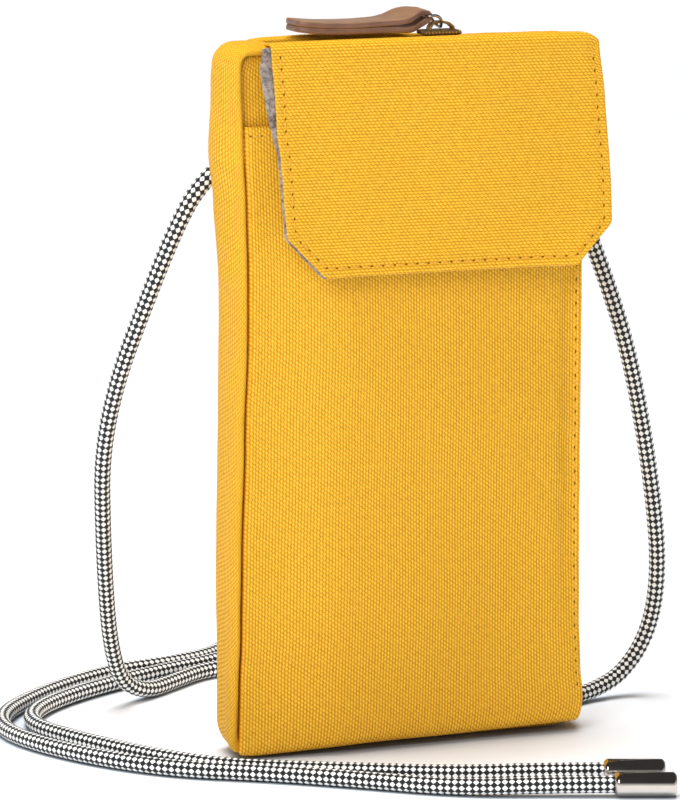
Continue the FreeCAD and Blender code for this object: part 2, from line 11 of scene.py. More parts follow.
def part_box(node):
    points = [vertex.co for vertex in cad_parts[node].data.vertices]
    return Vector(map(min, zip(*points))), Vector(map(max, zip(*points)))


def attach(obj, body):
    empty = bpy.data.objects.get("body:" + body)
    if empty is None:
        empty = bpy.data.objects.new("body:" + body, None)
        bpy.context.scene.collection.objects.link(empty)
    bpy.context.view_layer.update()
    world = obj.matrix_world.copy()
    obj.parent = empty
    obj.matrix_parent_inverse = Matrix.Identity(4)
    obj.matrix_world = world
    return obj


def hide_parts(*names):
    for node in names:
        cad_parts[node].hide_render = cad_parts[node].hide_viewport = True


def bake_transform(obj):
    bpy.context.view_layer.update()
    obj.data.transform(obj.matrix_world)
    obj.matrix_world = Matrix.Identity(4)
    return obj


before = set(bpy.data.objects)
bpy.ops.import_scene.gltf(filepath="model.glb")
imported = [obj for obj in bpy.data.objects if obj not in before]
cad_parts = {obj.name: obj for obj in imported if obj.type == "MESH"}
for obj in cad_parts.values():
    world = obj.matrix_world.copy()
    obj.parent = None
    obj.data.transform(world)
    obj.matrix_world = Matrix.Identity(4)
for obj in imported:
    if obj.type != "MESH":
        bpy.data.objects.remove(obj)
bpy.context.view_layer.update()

bl_info = {
    "name": "Phone pouch",
    "version": (1, 0, 0),
    "blender": (4, 5, 0),
    "location": "3D View > Sidebar > Pouch",
    "description": "Dresses the frame of a canvas phone pouch with cloth, cord, leather and metal",
    "category": "Object",
}

MM = 0.001

# The frame's own sizes that the cloth follows
BODY_LOW, BODY_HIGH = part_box("gusset_band")
POCKET_LOW, POCKET_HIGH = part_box("pocket_panel")
INNER_LOW, INNER_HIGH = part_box("front_panel")
BACK_LOW, BACK_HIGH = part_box("back_panel")
LINING_LOW, LINING_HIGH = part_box("main_lining")
STRIP_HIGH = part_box("zip_strip_front")[1]
FLAP_LOW, FLAP_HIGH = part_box("flap_outer")
ROOT_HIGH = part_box("flap_root")[1]
TUNNEL_LOW, TUNNEL_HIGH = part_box("cord_tunnel")
HELD_LOW, HELD_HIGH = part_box("cord_in_tunnel")
PULL_LOW, PULL_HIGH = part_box("pull_strap")
SLIDER_LOW, SLIDER_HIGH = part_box("zip_slider")
HALF_W = BODY_HIGH.x
FRONT = BODY_LOW.y
BACK = BODY_HIGH.y
TOP = BODY_HIGH.z

# Camera of the photograph: place, what it looks at and its lens on a 36 mm sensor
CAMERA_AT = Vector((-545.87, -1347.13, 338.05)) * MM
CAMERA_TARGET = Vector((-17.94, 0.0, 95.92)) * MM
CAMERA_LENS = 239.6
CAMERA_SENSOR = 36.0

# The cord's route in millimetres, from each end of the tunnel to its end cap
LIE = 2.45
REAR_MOUTH = Vector((31.2, -68.6, 3.4))
FRONT_MOUTH = Vector((27.8, -83.4, 3.4))
CAP_WAY = Vector((0.9298, -0.3681, 0.0))
CAP_LEAD = 14.0
CAP_BORE = 9.0
LEFT_ROUTE = (
    (-37, 12.7, 163), (-46.5, 12.9, 162), (-54.5, 13.6, 155), (-60.5, 15.5, 143), (-67.5, 20, 122.5),
    (-73.5, 27, 100.5), (-75.2, 34.5, 79), (-72, 43.5, 58), (-68, 53, 37), (-64, 61, 20), (-58.5, 68, 7),
    (-49.5, 72.5, LIE), (-38, 82, LIE), (-24.5, 93.5, LIE), (-8.5, 95.5, LIE), (8, 89.5, LIE),
    (23.5, 91, LIE), (32, 103, LIE), (29.5, 117.5, LIE), (17, 125, LIE), (2.5, 119.5, LIE),
    (-15.5, 104.5, LIE), (-35, 97, LIE), (-56, 86, LIE), (-75, 73, LIE), (-88.5, 58.5, LIE),
    (-93, 43.5, LIE), (-88.5, 27, LIE), (-81, 9, LIE), (-72.4, -7.5, LIE), (-61.4, -21.5, LIE),
    (-46.6, -31.4, LIE), (-29.4, -40.6, LIE), (-5.5, -53.5, LIE),
)
RIGHT_ROUTE = (
    (37, 12.7, 163), (46.5, 12.9, 162), (55, 13.6, 154), (61.5, 14.2, 139.5), (68.5, 15, 123),
    (75.5, 16.5, 104.5), (81.4, 18.7, 82.5), (86.5, 21.3, 59), (89.8, 24.2, 37), (88.5, 26.8, 19.5),
    (81, 28, 6.8), (69, 25, LIE), (54, 18, LIE), (36.5, 20.5, LIE), (28, 37.5, LIE), (33.5, 59, LIE),
    (43.5, 78, LIE), (51, 98, LIE), (48.5, 118.5, LIE), (34, 133.5, LIE), (14, 136.5, LIE),
    (-3, 126.5, LIE), (-15.5, 112, LIE), (-31.5, 105, LIE), (-49, 101.5, LIE), (-68, 89.5, LIE),
    (-85, 74, LIE), (-98, 57.5, LIE), (-102.5, 40, LIE), (-98.5, 20, LIE), (-87.5, -3, LIE),
    (-72.5, -21.5, LIE), (-52, -34, LIE), (-32, -50, LIE), (-10.5, -68.6, LIE),
)
LEFT_CORD_L = 643 * MM
RIGHT_CORD_L = 718 * MM

# How far the soft side seams stand off a straight line: share of the height, millimetres to the right
LEFT_SEAM_SET = (
    (0.0, -2.2), (0.1, -1.7), (0.18, -1.0), (0.29, -0.6), (0.45, 0.4), (0.6, 1.5), (0.7, 1.6),
    (0.76, 1.3), (0.87, 0.5), (0.95, -0.1), (1.0, 0.0),
)
LEFT_SIDE_SET = (
    (0.0, 0.0), (0.15, 0.3), (0.28, 0.1), (0.5, 0.8), (0.66, 1.2), (0.78, -0.3), (0.85, -1.6), (0.94, -0.9),
    (1.0, 0.0),
)
RIGHT_SEAM_SET = (
    (0.0, 0.3), (0.05, 1.8), (0.1, 0.8), (0.17, 0.2), (0.35, 0.1), (0.6, 0.4), (0.85, 0.6), (1.0, 0.0),
)


def linear(code):
    """An sRGB hex colour as linear red, green and blue."""
    channels = [int(code[i:i + 2], 16) / 255 for i in (1, 3, 5)]
    return tuple(c / 12.92 if c <= 0.04045 else ((c + 0.055) / 1.055) ** 2.4 for c in channels)


def length(name, description, millimetres):
    """A length that a user may change."""
    return FloatProperty(name=name, description=description, default=millimetres * MM, unit="LENGTH",
                         precision=5)


def colour(name, description, code):
    """A colour that a user may change."""
    return FloatVectorProperty(name=name, description=description, default=linear(code), subtype="COLOR",
                               min=0.0, max=1.0)


class PouchSizes(PropertyGroup):
    """Sizes of the pouch's cloth, thread, cord and leather."""
    rib_spacing: length("Rib spacing", "From one rib of the canvas to the next", 0.84)
    rib_float: length("Float length", "Length of one raised float along a rib", 1.2)
    cloth_t: length("Canvas thickness", "Thickness of one layer of canvas", 1.0)
    felt_t: length("Felt thickness", "Thickness of the flap's felt", 1.1)
    hem_depth: length("Hem depth", "From the pocket's edge to its row of stitches", 2.5)
    flap_margin: length("Flap margin", "From the flap's edge to its row of stitches", 2.5)
    lip_margin: length("Lip margin", "From the right seam to its row of stitches", 2.4)
    stitch_pitch: length("Stitch pitch", "From one needle hole to the next", 3.3)
    thread_d: length("Thread", "Diameter of the sewing thread", 0.55)
    cord_d: length("Cord", "Diameter of the braided cord", 4.8)
    braid_pitch: length("Braid pitch", "Length of one diamond of the braid", 1.87)
    braid_pairs: IntProperty(name="Braid pairs", description="Black and white pairs round the cord",
                             default=8)
    leather_t: length("Leather", "Thickness of one layer of the pull", 1.62)
    cap_d: length("End cap", "Diameter of the cord's end caps", 6.7)
    cap_l: length("End cap length", "Length of the cord's end caps", 16.4)


class PouchColours(PropertyGroup):
    """Colours of the pouch's materials."""
    # Painted highlight: the floats' tops are drawn lighter where light catches them
    canvas_float_highlight: colour("Canvas, raised", "Top of the canvas's floats", "#FFCC42")
    canvas_mid: colour("Canvas", "Middle tone of the canvas", "#EDAC1E")
    # Painted shade: the gaps between the floats are drawn darker
    canvas_gap_shade: colour("Canvas, sunken", "Between the canvas's floats", "#B06C0A")
    thread: colour("Thread", "Sewing thread", "#F6B638")
    needle_hole: colour("Needle hole", "Shadow in a needle hole", "#8A5510")
    felt: colour("Felt", "Grey felt of the flap", "#AB9E94")
    felt_dark: colour("Felt, dark", "Dark hairs of the felt", "#4E4648")
    lining: colour("Lining", "Lining cloth", "#5A5A5E")
    cord_white: colour("Cord, light", "Light yarn of the braid", "#F4F4F1")
    cord_black: colour("Cord, dark", "Dark yarn of the braid", "#141416")
    leather_face: colour("Leather face", "Smooth face of the pull", "#A0795B")
    leather_edge: colour("Leather edge", "Painted edge of the pull", "#7F5B4A")
    brass: colour("Antique brass", "Zip teeth and slider", "#B08C52")
    gunmetal: colour("Gunmetal", "Wire loop of the pull", "#A5A19A")
    nickel: colour("Nickel", "Polished end caps", "#D2CBC3")
    steel: colour("Steel", "Magnet discs", "#B4B5B8")
    zip_tape: colour("Zip tape", "Woven tape of the zip", "#A9741C")
    floor: colour("Floor", "Pale floor, a little cool", "#F4F6F9")


def sizes():
    """The sizes set on the scene."""
    return bpy.context.scene.pouch_sizes


def colours():
    """The colours set on the scene."""
    return bpy.context.scene.pouch_colours


# Small curves that the cloth is shaped with

def clamp(value):
    """Holds a share between 0 and 1."""
    return min(max(value, 0.0), 1.0)


def mix(a, b, share):
    """The value a share of the way from a to b."""
    return a + (b - a) * share


def ease(share):
    """A share that starts and ends slowly."""
    share = clamp(share)
    return share * share * (3 - 2 * share)


def roll(distance, radius):
    """How far a rounded edge has risen, from 0 at the edge to 1 at its radius."""
    return math.sqrt(1 - (1 - clamp(distance / radius)) ** 2)


def bell(distance, width):
    """A smooth bump that is 1 at its middle."""
    return math.exp(-(distance / width) ** 2)


def bump(distance, form):
    """A smooth bump of a form, its height and its width, at a distance from its middle."""
    height, width = form
    return height * bell(distance, width)


def through(stations, at):
    """A smooth line through stations, each a place and its value."""
    for (a, low), (b, high) in zip(stations, stations[1:]):
        if at <= b:
            return mix(low, high, ease((at - a) / (b - a)))
    return stations[-1][1]


def along_line(points, share):
    """A point a share of the way along a line of points, counted by points."""
    at = clamp(share) * (len(points) - 1)
    first = min(int(at), len(points) - 2)
    return Vector(points[first]).lerp(Vector(points[first + 1]), at - first)


def settle(point):
    """Moves a point of the straight bag to where the soft bag's seams stand."""
    at = point.z / TOP
    depth = ease((point.y - FRONT) / -FRONT)
    side = clamp(abs(point.x) / HALF_W)
    if point.x < 0:
        shift = mix(through(LEFT_SEAM_SET, at), through(LEFT_SIDE_SET, at), depth)
    else:
        shift = through(RIGHT_SEAM_SET, at)
    return point + Vector((shift * side * MM, 0.0, 0.0))


def ripple(x, z, grain, depth):
    """A soft unevenness of cloth, in metres."""
    return noise.noise(Vector((x, z, 0.0)) / grain) * depth


# Making pieces

def cloth(columns, rows, place):
    """A sheet of cloth: place(u, v) gives each point and where it lies on the flat weave, in metres."""
    bm = bmesh.new()
    weave = bm.loops.layers.uv.new("Weave")
    bmesh.ops.create_grid(bm, x_segments=columns, y_segments=rows, size=0.5)
    bm.verts.index_update()
    lay = []
    for vert in bm.verts:
        vert.co, flat = place(vert.co.x + 0.5, vert.co.y + 0.5)
        lay.append(flat)
    for face in bm.faces:
        for loop in face.loops:
            loop[weave].uv = lay[loop.vert.index]
    return bm


def piece(name, bm, materials, body=None, nodes=()):
    """Turns a bmesh into a named piece with its materials, its body and the nodes that it stands for."""
    mesh = bpy.data.meshes.new(name)
    bm.to_mesh(mesh)
    bm.free()
    mesh.shade_smooth()
    made = bpy.data.objects.new(name, mesh)
    bpy.context.collection.objects.link(made)
    for material in materials:
        mesh.materials.append(material)
    if body:
        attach(made, body)
    if nodes:
        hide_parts(*nodes)
    return made


def soften(made, levels):
    """Rounds a piece with a subdivision surface."""
    surface = made.modifiers.new("Round", "SUBSURF")
    surface.levels = levels
    surface.render_levels = levels


def thicken(made, thickness, levels=1, offset=-1.0):
    """Gives a sheet its thickness and rounds it."""
    wall = made.modifiers.new("Thickness", "SOLIDIFY")
    wall.thickness = thickness
    wall.offset = offset
    soften(made, levels)


def round_corner(x, z, half_w, edge, radius, sense):
    """Draws a grid's two corners at an edge into arcs; sense is 1 at its top and -1 at its base."""
    across = abs(x) - (half_w - radius)
    along = (z - edge) * sense + radius
    if across <= 0 or along <= 0:
        return x, z
    pull = max(across, along) / math.hypot(across, along)
    return math.copysign(half_w - radius + across * pull, x), edge + sense * (along * pull - radius)


def seam_walk(place, corners, pitch):
    """Points a pitch apart along corners of a sheet's (u, v), each with its surface normal."""
    steps = 240
    fine = []
    for (u0, v0), (u1, v1) in zip(corners, corners[1:]):
        for i in range(steps + 1):
            spot = (mix(u0, u1, i / steps), mix(v0, v1, i / steps))
            fine.append((spot, place(*spot)[0]))
    walked = [0.0]
    for (_, a), (_, b) in zip(fine, fine[1:]):
        walked.append(walked[-1] + (b - a).length)
    count = max(int(walked[-1] / pitch), 1)
    reach = 1e-3
    at = 0
    out = []
    for i in range(count + 1):
        target = walked[-1] * i / count
        while at < len(walked) - 2 and walked[at + 1] < target:
            at += 1
        (u, v), point = fine[at]
        u = min(max(u, reach), 1 - reach)
        v = min(max(v, reach), 1 - reach)
        right = place(u + reach, v)[0] - place(u - reach, v)[0]
        up = place(u, v + reach)[0] - place(u, v - reach)[0]
        out.append((point, right.cross(up).normalized()))
    return out


# A stitch's share of its pitch
STITCH_SHARE = 0.72
# Shares of the thread's radius: how far a stitch and its needle hole's dark blob of painted shade stand out,
# and the blob's three radii
STITCH_LIFT_SHARE = 1 / 3
HOLE_LIFT_SHARE = 0.6
HOLE_SHARES = (1.6, 0.9, 0.5)


def stitches(name, body, rows):
    """Rows of sewn thread, each a place function and its corners, with a dark blob of painted shade for the
    needle hole between stitches.
    """
    size = sizes()
    half = size.thread_d / 2
    bm = bmesh.new()
    for place, corners in rows:
        walk = seam_walk(place, corners, size.stitch_pitch)
        for (a, up), (b, _) in zip(walk, walk[1:]):
            along = (b - a).normalized()
            side = up.cross(along).normalized()
            turn = Matrix((along, side, along.cross(side))).transposed().to_4x4()
            thread = Matrix.Diagonal(((b - a).length / 2 * STITCH_SHARE, half, half, 1))
            lift = Matrix.Translation((a + b) / 2 + up * half * STITCH_LIFT_SHARE)
            bmesh.ops.create_uvsphere(bm, u_segments=8, v_segments=5, radius=1, matrix=lift @ turn @ thread)
            # The needle hole: a small dark blob of painted shade between stitches
            hole = Matrix.Diagonal((*(half * share for share in HOLE_SHARES), 1))
            lift = Matrix.Translation(a + up * half * HOLE_LIFT_SHARE)
            made = bmesh.ops.create_uvsphere(bm, u_segments=6, v_segments=4, radius=1,
                                             matrix=lift @ turn @ hole)
            for face in {f for v in made["verts"] for f in v.link_faces}:
                face.material_index = 1
    return piece(name, bm, (sewing_thread(), needle_shadow()), body)


# Materials

def node(tree, kind, inputs=None, stops=(), **settings):
    """Adds one shader node: its settings, a ramp's stops, and each input's value or what feeds it."""
    made = tree.nodes.new("ShaderNode" + kind)
    for key, value in settings.items():
        setattr(made, key, value)
    for key, value in (inputs or {}).items():
        if isinstance(value, Node):
            value = value.outputs[0]
        if isinstance(value, NodeSocket):
            tree.links.new(value, made.inputs[key])
        else:
            made.inputs[key].default_value = value
    for i, (position, tint) in enumerate(stops):
        if i >= len(made.color_ramp.elements):
            made.color_ramp.elements.new(position)
        made.color_ramp.elements[i].position = position
        made.color_ramp.elements[i].color = (*tint, 1.0)
    return made


def start_material(name):
    """A new material with its tree and shader, or only the material where it is made already."""
    found = bpy.data.materials.get(name)
    if found:
        return found, None, None
    made = bpy.data.materials.new(name)
    made.use_nodes = True
    return made, made.node_tree, made.node_tree.nodes["Principled BSDF"]


def dress(tree, shader, tint=None, bump=None, **values):
    """Links a colour and a bump to the shader, and sets its plain values."""
    if tint:
        tree.links.new(tint.outputs[0], shader.inputs["Base Color"])
    if bump:
        tree.links.new(bump.outputs[0], shader.inputs["Normal"])
    for key, value in values.items():
        shader.inputs[key.replace("_", " ")].default_value = value


def darker(tint, share):
    """A colour brought down to a share of its light."""
    return tuple(c * share for c in tint)


# How much more one diagonal of the canvas shows than the other
LEAN_SHARE = 0.2


def woven_canvas():
    """Woven polyester canvas: rows of raised floats with a painted highlight on their tops and painted shade
    in the gaps between, dull with a little sheen.
    """
    made, tree, shader = start_material("woven_canvas")
    if not tree:
        return made
    size, tint = sizes(), colours()
    weave = node(tree, "UVMap", uv_map="Weave")
    wander = node(tree, "TexNoise", {"Vector": weave, "Scale": 1 / (6 * MM), "Detail": 2.0})
    centred = node(tree, "VectorMath", {0: wander.outputs[1], 1: (0.5, 0.5, 0.5)}, operation="SUBTRACT")
    drift = node(tree, "VectorMath", {0: centred, "Scale": 0.22 * MM}, operation="SCALE")
    spot = node(tree, "SeparateXYZ", {0: node(tree, "VectorMath", {0: weave, 1: drift}, operation="ADD")})
    across = node(tree, "Math", {0: spot.outputs[0], 1: math.pi / size.rib_spacing}, operation="MULTIPLY")
    along = node(tree, "Math", {0: spot.outputs[1], 1: 2 * math.pi / size.rib_float}, operation="MULTIPLY")
    twice = node(tree, "Math", {0: across, 1: 2.0}, operation="MULTIPLY")
    rib = node(tree, "Math", {0: twice}, operation="COSINE")
    side = node(tree, "Math", {0: across}, operation="COSINE")
    step = node(tree, "Math", {0: along}, operation="COSINE")
    floats = node(tree, "Math", {0: side, 1: step}, operation="MULTIPLY")
    slopes = [node(tree, "Math", {0: turn}, operation="SINE") for turn in (across, along)]
    twill = node(tree, "Math", {0: slopes[0], 1: slopes[1]}, operation="MULTIPLY")
    leaning = node(tree, "Math", {0: twill, 1: -LEAN_SHARE, 2: floats}, operation="MULTIPLY_ADD")
    raised = node(tree, "Math", {0: leaning, 1: 0.27, 2: 0.5}, operation="MULTIPLY_ADD")
    height = node(tree, "Math", {0: rib, 1: 0.22, 2: raised}, operation="MULTIPLY_ADD")
    yarn = node(tree, "TexNoise", {"Vector": weave, "Scale": 1 / (1.4 * MM), "Detail": 2.0})
    shade = node(tree, "Math", {0: yarn, 1: 0.3, 2: height}, operation="MULTIPLY_ADD")
    # Colour by the weave's height: painted shade in the gaps, painted highlight on the floats' tops
    ramp = node(tree, "ValToRGB", {0: shade}, stops=((0.26, tint.canvas_gap_shade), (0.6, tint.canvas_mid),
                                                     (1.0, tint.canvas_float_highlight)))
    bump = node(tree, "Bump", {"Height": height, "Strength": 0.65, "Distance": 0.3 * MM})
    dress(tree, shader, ramp, bump, Roughness=0.7, Specular_IOR_Level=0.3)
    return made


def sewing_thread():
    """Spun polyester thread: a fine twist, slightly shiny."""
    made, tree, shader = start_material("sewing_thread")
    if not tree:
        return made
    tint = colours().thread
    place = node(tree, "TexCoord").outputs["Object"]
    twist = node(tree, "TexNoise", {"Vector": place, "Scale": 1 / (0.5 * MM), "Detail": 2.0})
    ramp = node(tree, "ValToRGB", {0: twist}, stops=((0.3, darker(tint, 0.7)), (0.7, tint)))
    bump = node(tree, "Bump", {"Height": twist, "Strength": 0.3, "Distance": 0.1 * MM})
    dress(tree, shader, ramp, bump, Roughness=0.55)
    return made


def needle_shadow():
    """The inside of a needle hole: canvas in deep shade."""
    # Painted shade: the dark colour stands in for the shadow inside a needle hole
    made, tree, shader = start_material("needle_hole_painted_shade")
    if not tree:
        return made
    tint = colours().needle_hole
    place = node(tree, "TexCoord").outputs["Object"]
    fleck = node(tree, "TexNoise", {"Vector": place, "Scale": 1 / (0.4 * MM)})
    ramp = node(tree, "ValToRGB", {0: fleck}, stops=((0.3, darker(tint, 0.6)), (0.7, tint)))
    dress(tree, shader, ramp, Roughness=0.9, Specular_IOR_Level=0.1)
    return made


def pressed_felt():
    """Pressed wool felt: short grey hairs in every direction, quite dull."""
    made, tree, shader = start_material("pressed_felt")
    if not tree:
        return made
    tint = colours()
    place = node(tree, "TexCoord").outputs["Object"]
    hair = node(tree, "TexNoise", {"Vector": place, "Scale": 1 / (1.1 * MM), "Detail": 5.0,
                                   "Roughness": 0.75})
    patch = node(tree, "TexNoise", {"Vector": place, "Scale": 1 / (4 * MM), "Detail": 2.0})
    thin = node(tree, "Math", {0: hair, 1: 0.75}, operation="MULTIPLY")
    both = node(tree, "Math", {0: patch, 1: 0.35, 2: thin}, operation="MULTIPLY_ADD")
    ramp = node(tree, "ValToRGB", {0: both}, stops=((0.44, tint.felt_dark), (0.64, tint.felt)))
    bump = node(tree, "Bump", {"Height": hair, "Strength": 0.6, "Distance": 0.3 * MM})
    dress(tree, shader, ramp, bump, Roughness=0.95, Sheen_Weight=0.3)
    return made


def plain_cloth(name, tint, spacing):
    """Thin plain-weave cloth: a fine over-and-under check, drawn on the piece's own weave."""
    made, tree, shader = start_material(name)
    if not tree:
        return made
    spot = node(tree, "SeparateXYZ", {0: node(tree, "UVMap", uv_map="Weave")})
    turns = [node(tree, "Math", {0: way, 1: math.pi / spacing}, operation="MULTIPLY")
             for way in spot.outputs[:2]]
    waves = [node(tree, "Math", {0: turn}, operation="COSINE") for turn in turns]
    crossing = node(tree, "Math", {0: waves[0], 1: waves[1]}, operation="MULTIPLY")
    check = node(tree, "Math", {0: crossing, 1: 0.5, 2: 0.5}, operation="MULTIPLY_ADD")
    ramp = node(tree, "ValToRGB", {0: check}, stops=((0.0, darker(tint, 0.6)), (1.0, tint)))
    bump = node(tree, "Bump", {"Height": check, "Strength": 0.4, "Distance": 0.1 * MM})
    dress(tree, shader, ramp, bump, Roughness=0.8)
    return made


def braided_cord():
    """Polyester braid: black and white diamonds that meet at their tips, with fine yarn along each."""
    made, tree, shader = start_material("braided_cord")
    if not tree:
        return made
    size, tint = sizes(), colours()
    spot = node(tree, "SeparateXYZ", {0: node(tree, "UVMap", uv_map="Weave")})
    per_unit = (2 * math.pi * size.braid_pairs, 2 * math.pi / size.braid_pitch)
    turns = [node(tree, "Math", {0: spot.outputs[i], 1: per_unit[i]}, operation="MULTIPLY") for i in (0, 1)]
    waves = [node(tree, "Math", {0: turn}, operation="COSINE") for turn in turns]
    check = node(tree, "Math", {0: waves[0], 1: waves[1]}, operation="ADD")
    place = node(tree, "TexCoord").outputs["Object"]
    yarn = node(tree, "TexNoise", {"Vector": place, "Scale": 1 / (0.4 * MM), "Detail": 2.0})
    frayed = node(tree, "Math", {0: yarn, 1: 0.5, 2: check}, operation="MULTIPLY_ADD")
    ramp = node(tree, "ValToRGB", {0: frayed}, stops=((0.3, tint.cord_black), (0.5, tint.cord_white)))
    bump = node(tree, "Bump", {"Height": yarn, "Strength": 0.35, "Distance": 0.15 * MM})
    dress(tree, shader, ramp, bump, Roughness=0.7, Sheen_Weight=0.1)
    return made


def pull_leather(name, tint):
    """Smooth calf leather, its face or its painted edge: fine pores, soft clouds of tone and a soft gloss."""
    made, tree, shader = start_material(name)
    if not tree:
        return made
    place = node(tree, "TexCoord").outputs["Object"]
    pores = node(tree, "TexVoronoi", {"Vector": place, "Scale": 1 / (0.9 * MM)}, feature="DISTANCE_TO_EDGE")
    cloud = node(tree, "TexNoise", {"Vector": place, "Scale": 1 / (5 * MM), "Detail": 3.0})
    ramp = node(tree, "ValToRGB", {0: cloud}, stops=((0.35, darker(tint, 0.78)), (0.65, tint)))
    bump = node(tree, "Bump", {"Height": pores, "Strength": 0.25, "Distance": 0.15 * MM})
    dress(tree, shader, ramp, bump, Roughness=0.42)
    return made


def metal(name, tint, roughness, grain, scratch, metallic=1.0):
    """Plated metal: an even colour with fine wear that changes its gloss."""
    made, tree, shader = start_material(name)
    if not tree:
        return made
    place = node(tree, "TexCoord").outputs["Object"]
    wear = node(tree, "TexNoise", {"Vector": place, "Scale": 1 / grain, "Detail": 4.0})
    gloss = node(tree, "MapRange", {"Value": wear, "To Min": roughness * 0.7, "To Max": roughness * 1.4})
    ramp = node(tree, "ValToRGB", {0: wear}, stops=((0.3, darker(tint, 1 - scratch)), (0.7, tint)))
    tree.links.new(gloss.outputs[0], shader.inputs["Roughness"])
    dress(tree, shader, ramp, Metallic=metallic)
    return made


def antique_brass():
    """Tumbled antique brass: brown, with patches rubbed brighter at random."""
    return metal("antique_brass", colours().brass, 0.45, 1.2 * MM, 0.5, metallic=0.75)


def gunmetal_wire():
    """Black nickel wire: dark and glossy."""
    return metal("gunmetal_wire", colours().gunmetal, 0.25, 1.5 * MM, 0.3)


def polished_nickel():
    """Polished nickel: clear reflections with faint handling marks."""
    return metal("polished_nickel", colours().nickel, 0.07, 3 * MM, 0.06)


def plated_steel():
    """Zinc plated steel disc: a dull even grey."""
    return metal("plated_steel", colours().steel, 0.4, 2 * MM, 0.2)


# The soft dark edge where something stands on the floor: its reach, and its shade by how open the floor lies
CONTACT_REACH = 26 * MM
CONTACT_STOPS = ((0.2, (0.44, 0.48, 0.54)), (0.64, (0.95, 0.975, 1.0)), (0.92, (1.0, 1.0, 1.0)))


def studio_floor():
    """Matt white paper: even, with a hardly visible tooth and a soft shade where things stand."""
    made, tree, shader = start_material("studio_paper")
    if not tree:
        return made
    tint = colours().floor
    place = node(tree, "TexCoord").outputs["Object"]
    tooth = node(tree, "TexNoise", {"Vector": place, "Scale": 1 / (2 * MM)})
    paper = node(tree, "ValToRGB", {0: tooth}, stops=((0.0, darker(tint, 0.99)), (1.0, tint)))
    open_sky = node(tree, "AmbientOcclusion", {"Distance": CONTACT_REACH}).outputs["AO"]
    contact = node(tree, "ValToRGB", {0: open_sky}, stops=CONTACT_STOPS)
    shaded = node(tree, "VectorMath", {0: paper, 1: contact}, operation="MULTIPLY")
    dress(tree, shader, shaded, Roughness=0.95, Specular_IOR_Level=0.1)
    return made


# The side band: the strip round the sides, the bottom and the top's corners

BAND_TOP_END = STRIP_HIGH.x - 2.6 * MM
BAND_R = 8 * MM
# Across the band, from the front seam to the back one: depth and how far inside the outline, in millimetres
BAND_PROFILE = (
    (-7.4, 3.15), (-8.8, 2.95), (-9.6, 2.55), (-9.9, 1.95), (-9.5, 1.25), (-8.5, 0.7), (-7.0, 0.3),
    (-5.0, 0.05), (-2.6, 0.0), (0.0, 0.0), (2.6, 0.0), (4.8, 0.1), (6.6, 0.5), (8.2, 1.5), (9.3, 2.9),
    (9.9, 4.3), (9.6, 5.0), (8.4, 5.3),
)
TOP_CORNER_R = 5.6 * MM
FRONT_BASE_R = 6.5 * MM
BACK_BASE_R = 9.0 * MM
# How far the right side draws in at its front, and how far back the bottom's front edge lies
RIGHT_TUCK = 2.4 * MM
BASE_TUCK = -7.2 * MM
# Where the bottom starts: how far in from the sides and below which height, each with the length it takes
UNDER_IN = 1.5 * MM
UNDER_IN_L = 4 * MM
UNDER_Z = 20 * MM
UNDER_Z_L = 10 * MM
# Depth at which the bottom comes down on the floor, and how far its front lies above the pocket's edge
BASE_REST = -0.5 * MM
BASE_LIFT = 0.4 * MM
# The pocket's lower edge: share of the width, height in millimetres
POCKET_BASE = ((0.0, 2.2), (0.04, 1.1), (0.08, 0.8), (0.5, 1.8), (1.0, 2.7))
# How far the top's ends turn down under the flap, over which length, and where that stops towards the back
END_TURN = 1.2 * MM
END_TURN_L = 4.0 * MM
END_TURN_BACK = -4.2 * MM
# How far the top's right end sags behind the flap, over which height, and where that starts from the front
RIGHT_SAG = 0.6 * MM
RIGHT_SAG_TALL = 6 * MM
RIGHT_SAG_FROM = -8 * MM
# Unevenness of the sides: grain and depth, its reach across the band, and the height over which it starts
SIDE_RIPPLE = (30 * MM, 0.8 * MM)
SIDE_REACH = 7 * MM
SIDE_START = 30 * MM
# Gathers at the lower corners: height, reach up and across, depth and wave
GATHER_Z = 7 * MM
GATHER_TALL = 6 * MM
GATHER_WIDE = 8 * MM
GATHER_DEPTH = 0.14 * MM
GATHER_WAVE = 0.6 * MM
BAND_SEAMS = 8 * MM
BAND_COLUMNS = 300
BAND_LEGS = (HALF_W - BAND_R - BAND_TOP_END, BAND_R * math.pi / 2, TOP - 2 * BAND_R, BAND_R * math.pi / 2,
             HALF_W - BAND_R)
BAND_HALF_L = sum(BAND_LEGS)


def pocket_base(x):
    """Height of the pocket's lower edge at a place across the bag."""
    return through(POCKET_BASE, clamp(x / (2 * HALF_W) + 0.5)) * MM


def band_path(run, inset, base_r):
    """A point on the left half of the band, from the top's end to the middle of the bottom."""
    top_r = max(TOP_CORNER_R - inset, MM)
    base_r = max(base_r - inset, MM)
    half_w, top, low = HALF_W - inset, TOP - inset, inset
    reach = run * BAND_HALF_L
    leg = 0
    while leg < len(BAND_LEGS) - 1 and reach > BAND_LEGS[leg]:
        reach -= BAND_LEGS[leg]
        leg += 1
    share = reach / BAND_LEGS[leg]
    turn = math.pi / 2 * share
    if leg == 0:
        return -mix(BAND_TOP_END, half_w - top_r, share), top
    if leg == 1:
        return -(half_w - top_r) - top_r * math.sin(turn), top - top_r + top_r * math.cos(turn)
    if leg == 2:
        return -half_w, mix(top - top_r, low + base_r, share)
    if leg == 3:
        return -(half_w - base_r) - base_r * math.cos(turn), low + base_r - base_r * math.sin(turn)
    return -mix(half_w - base_r, 0.0, share), low


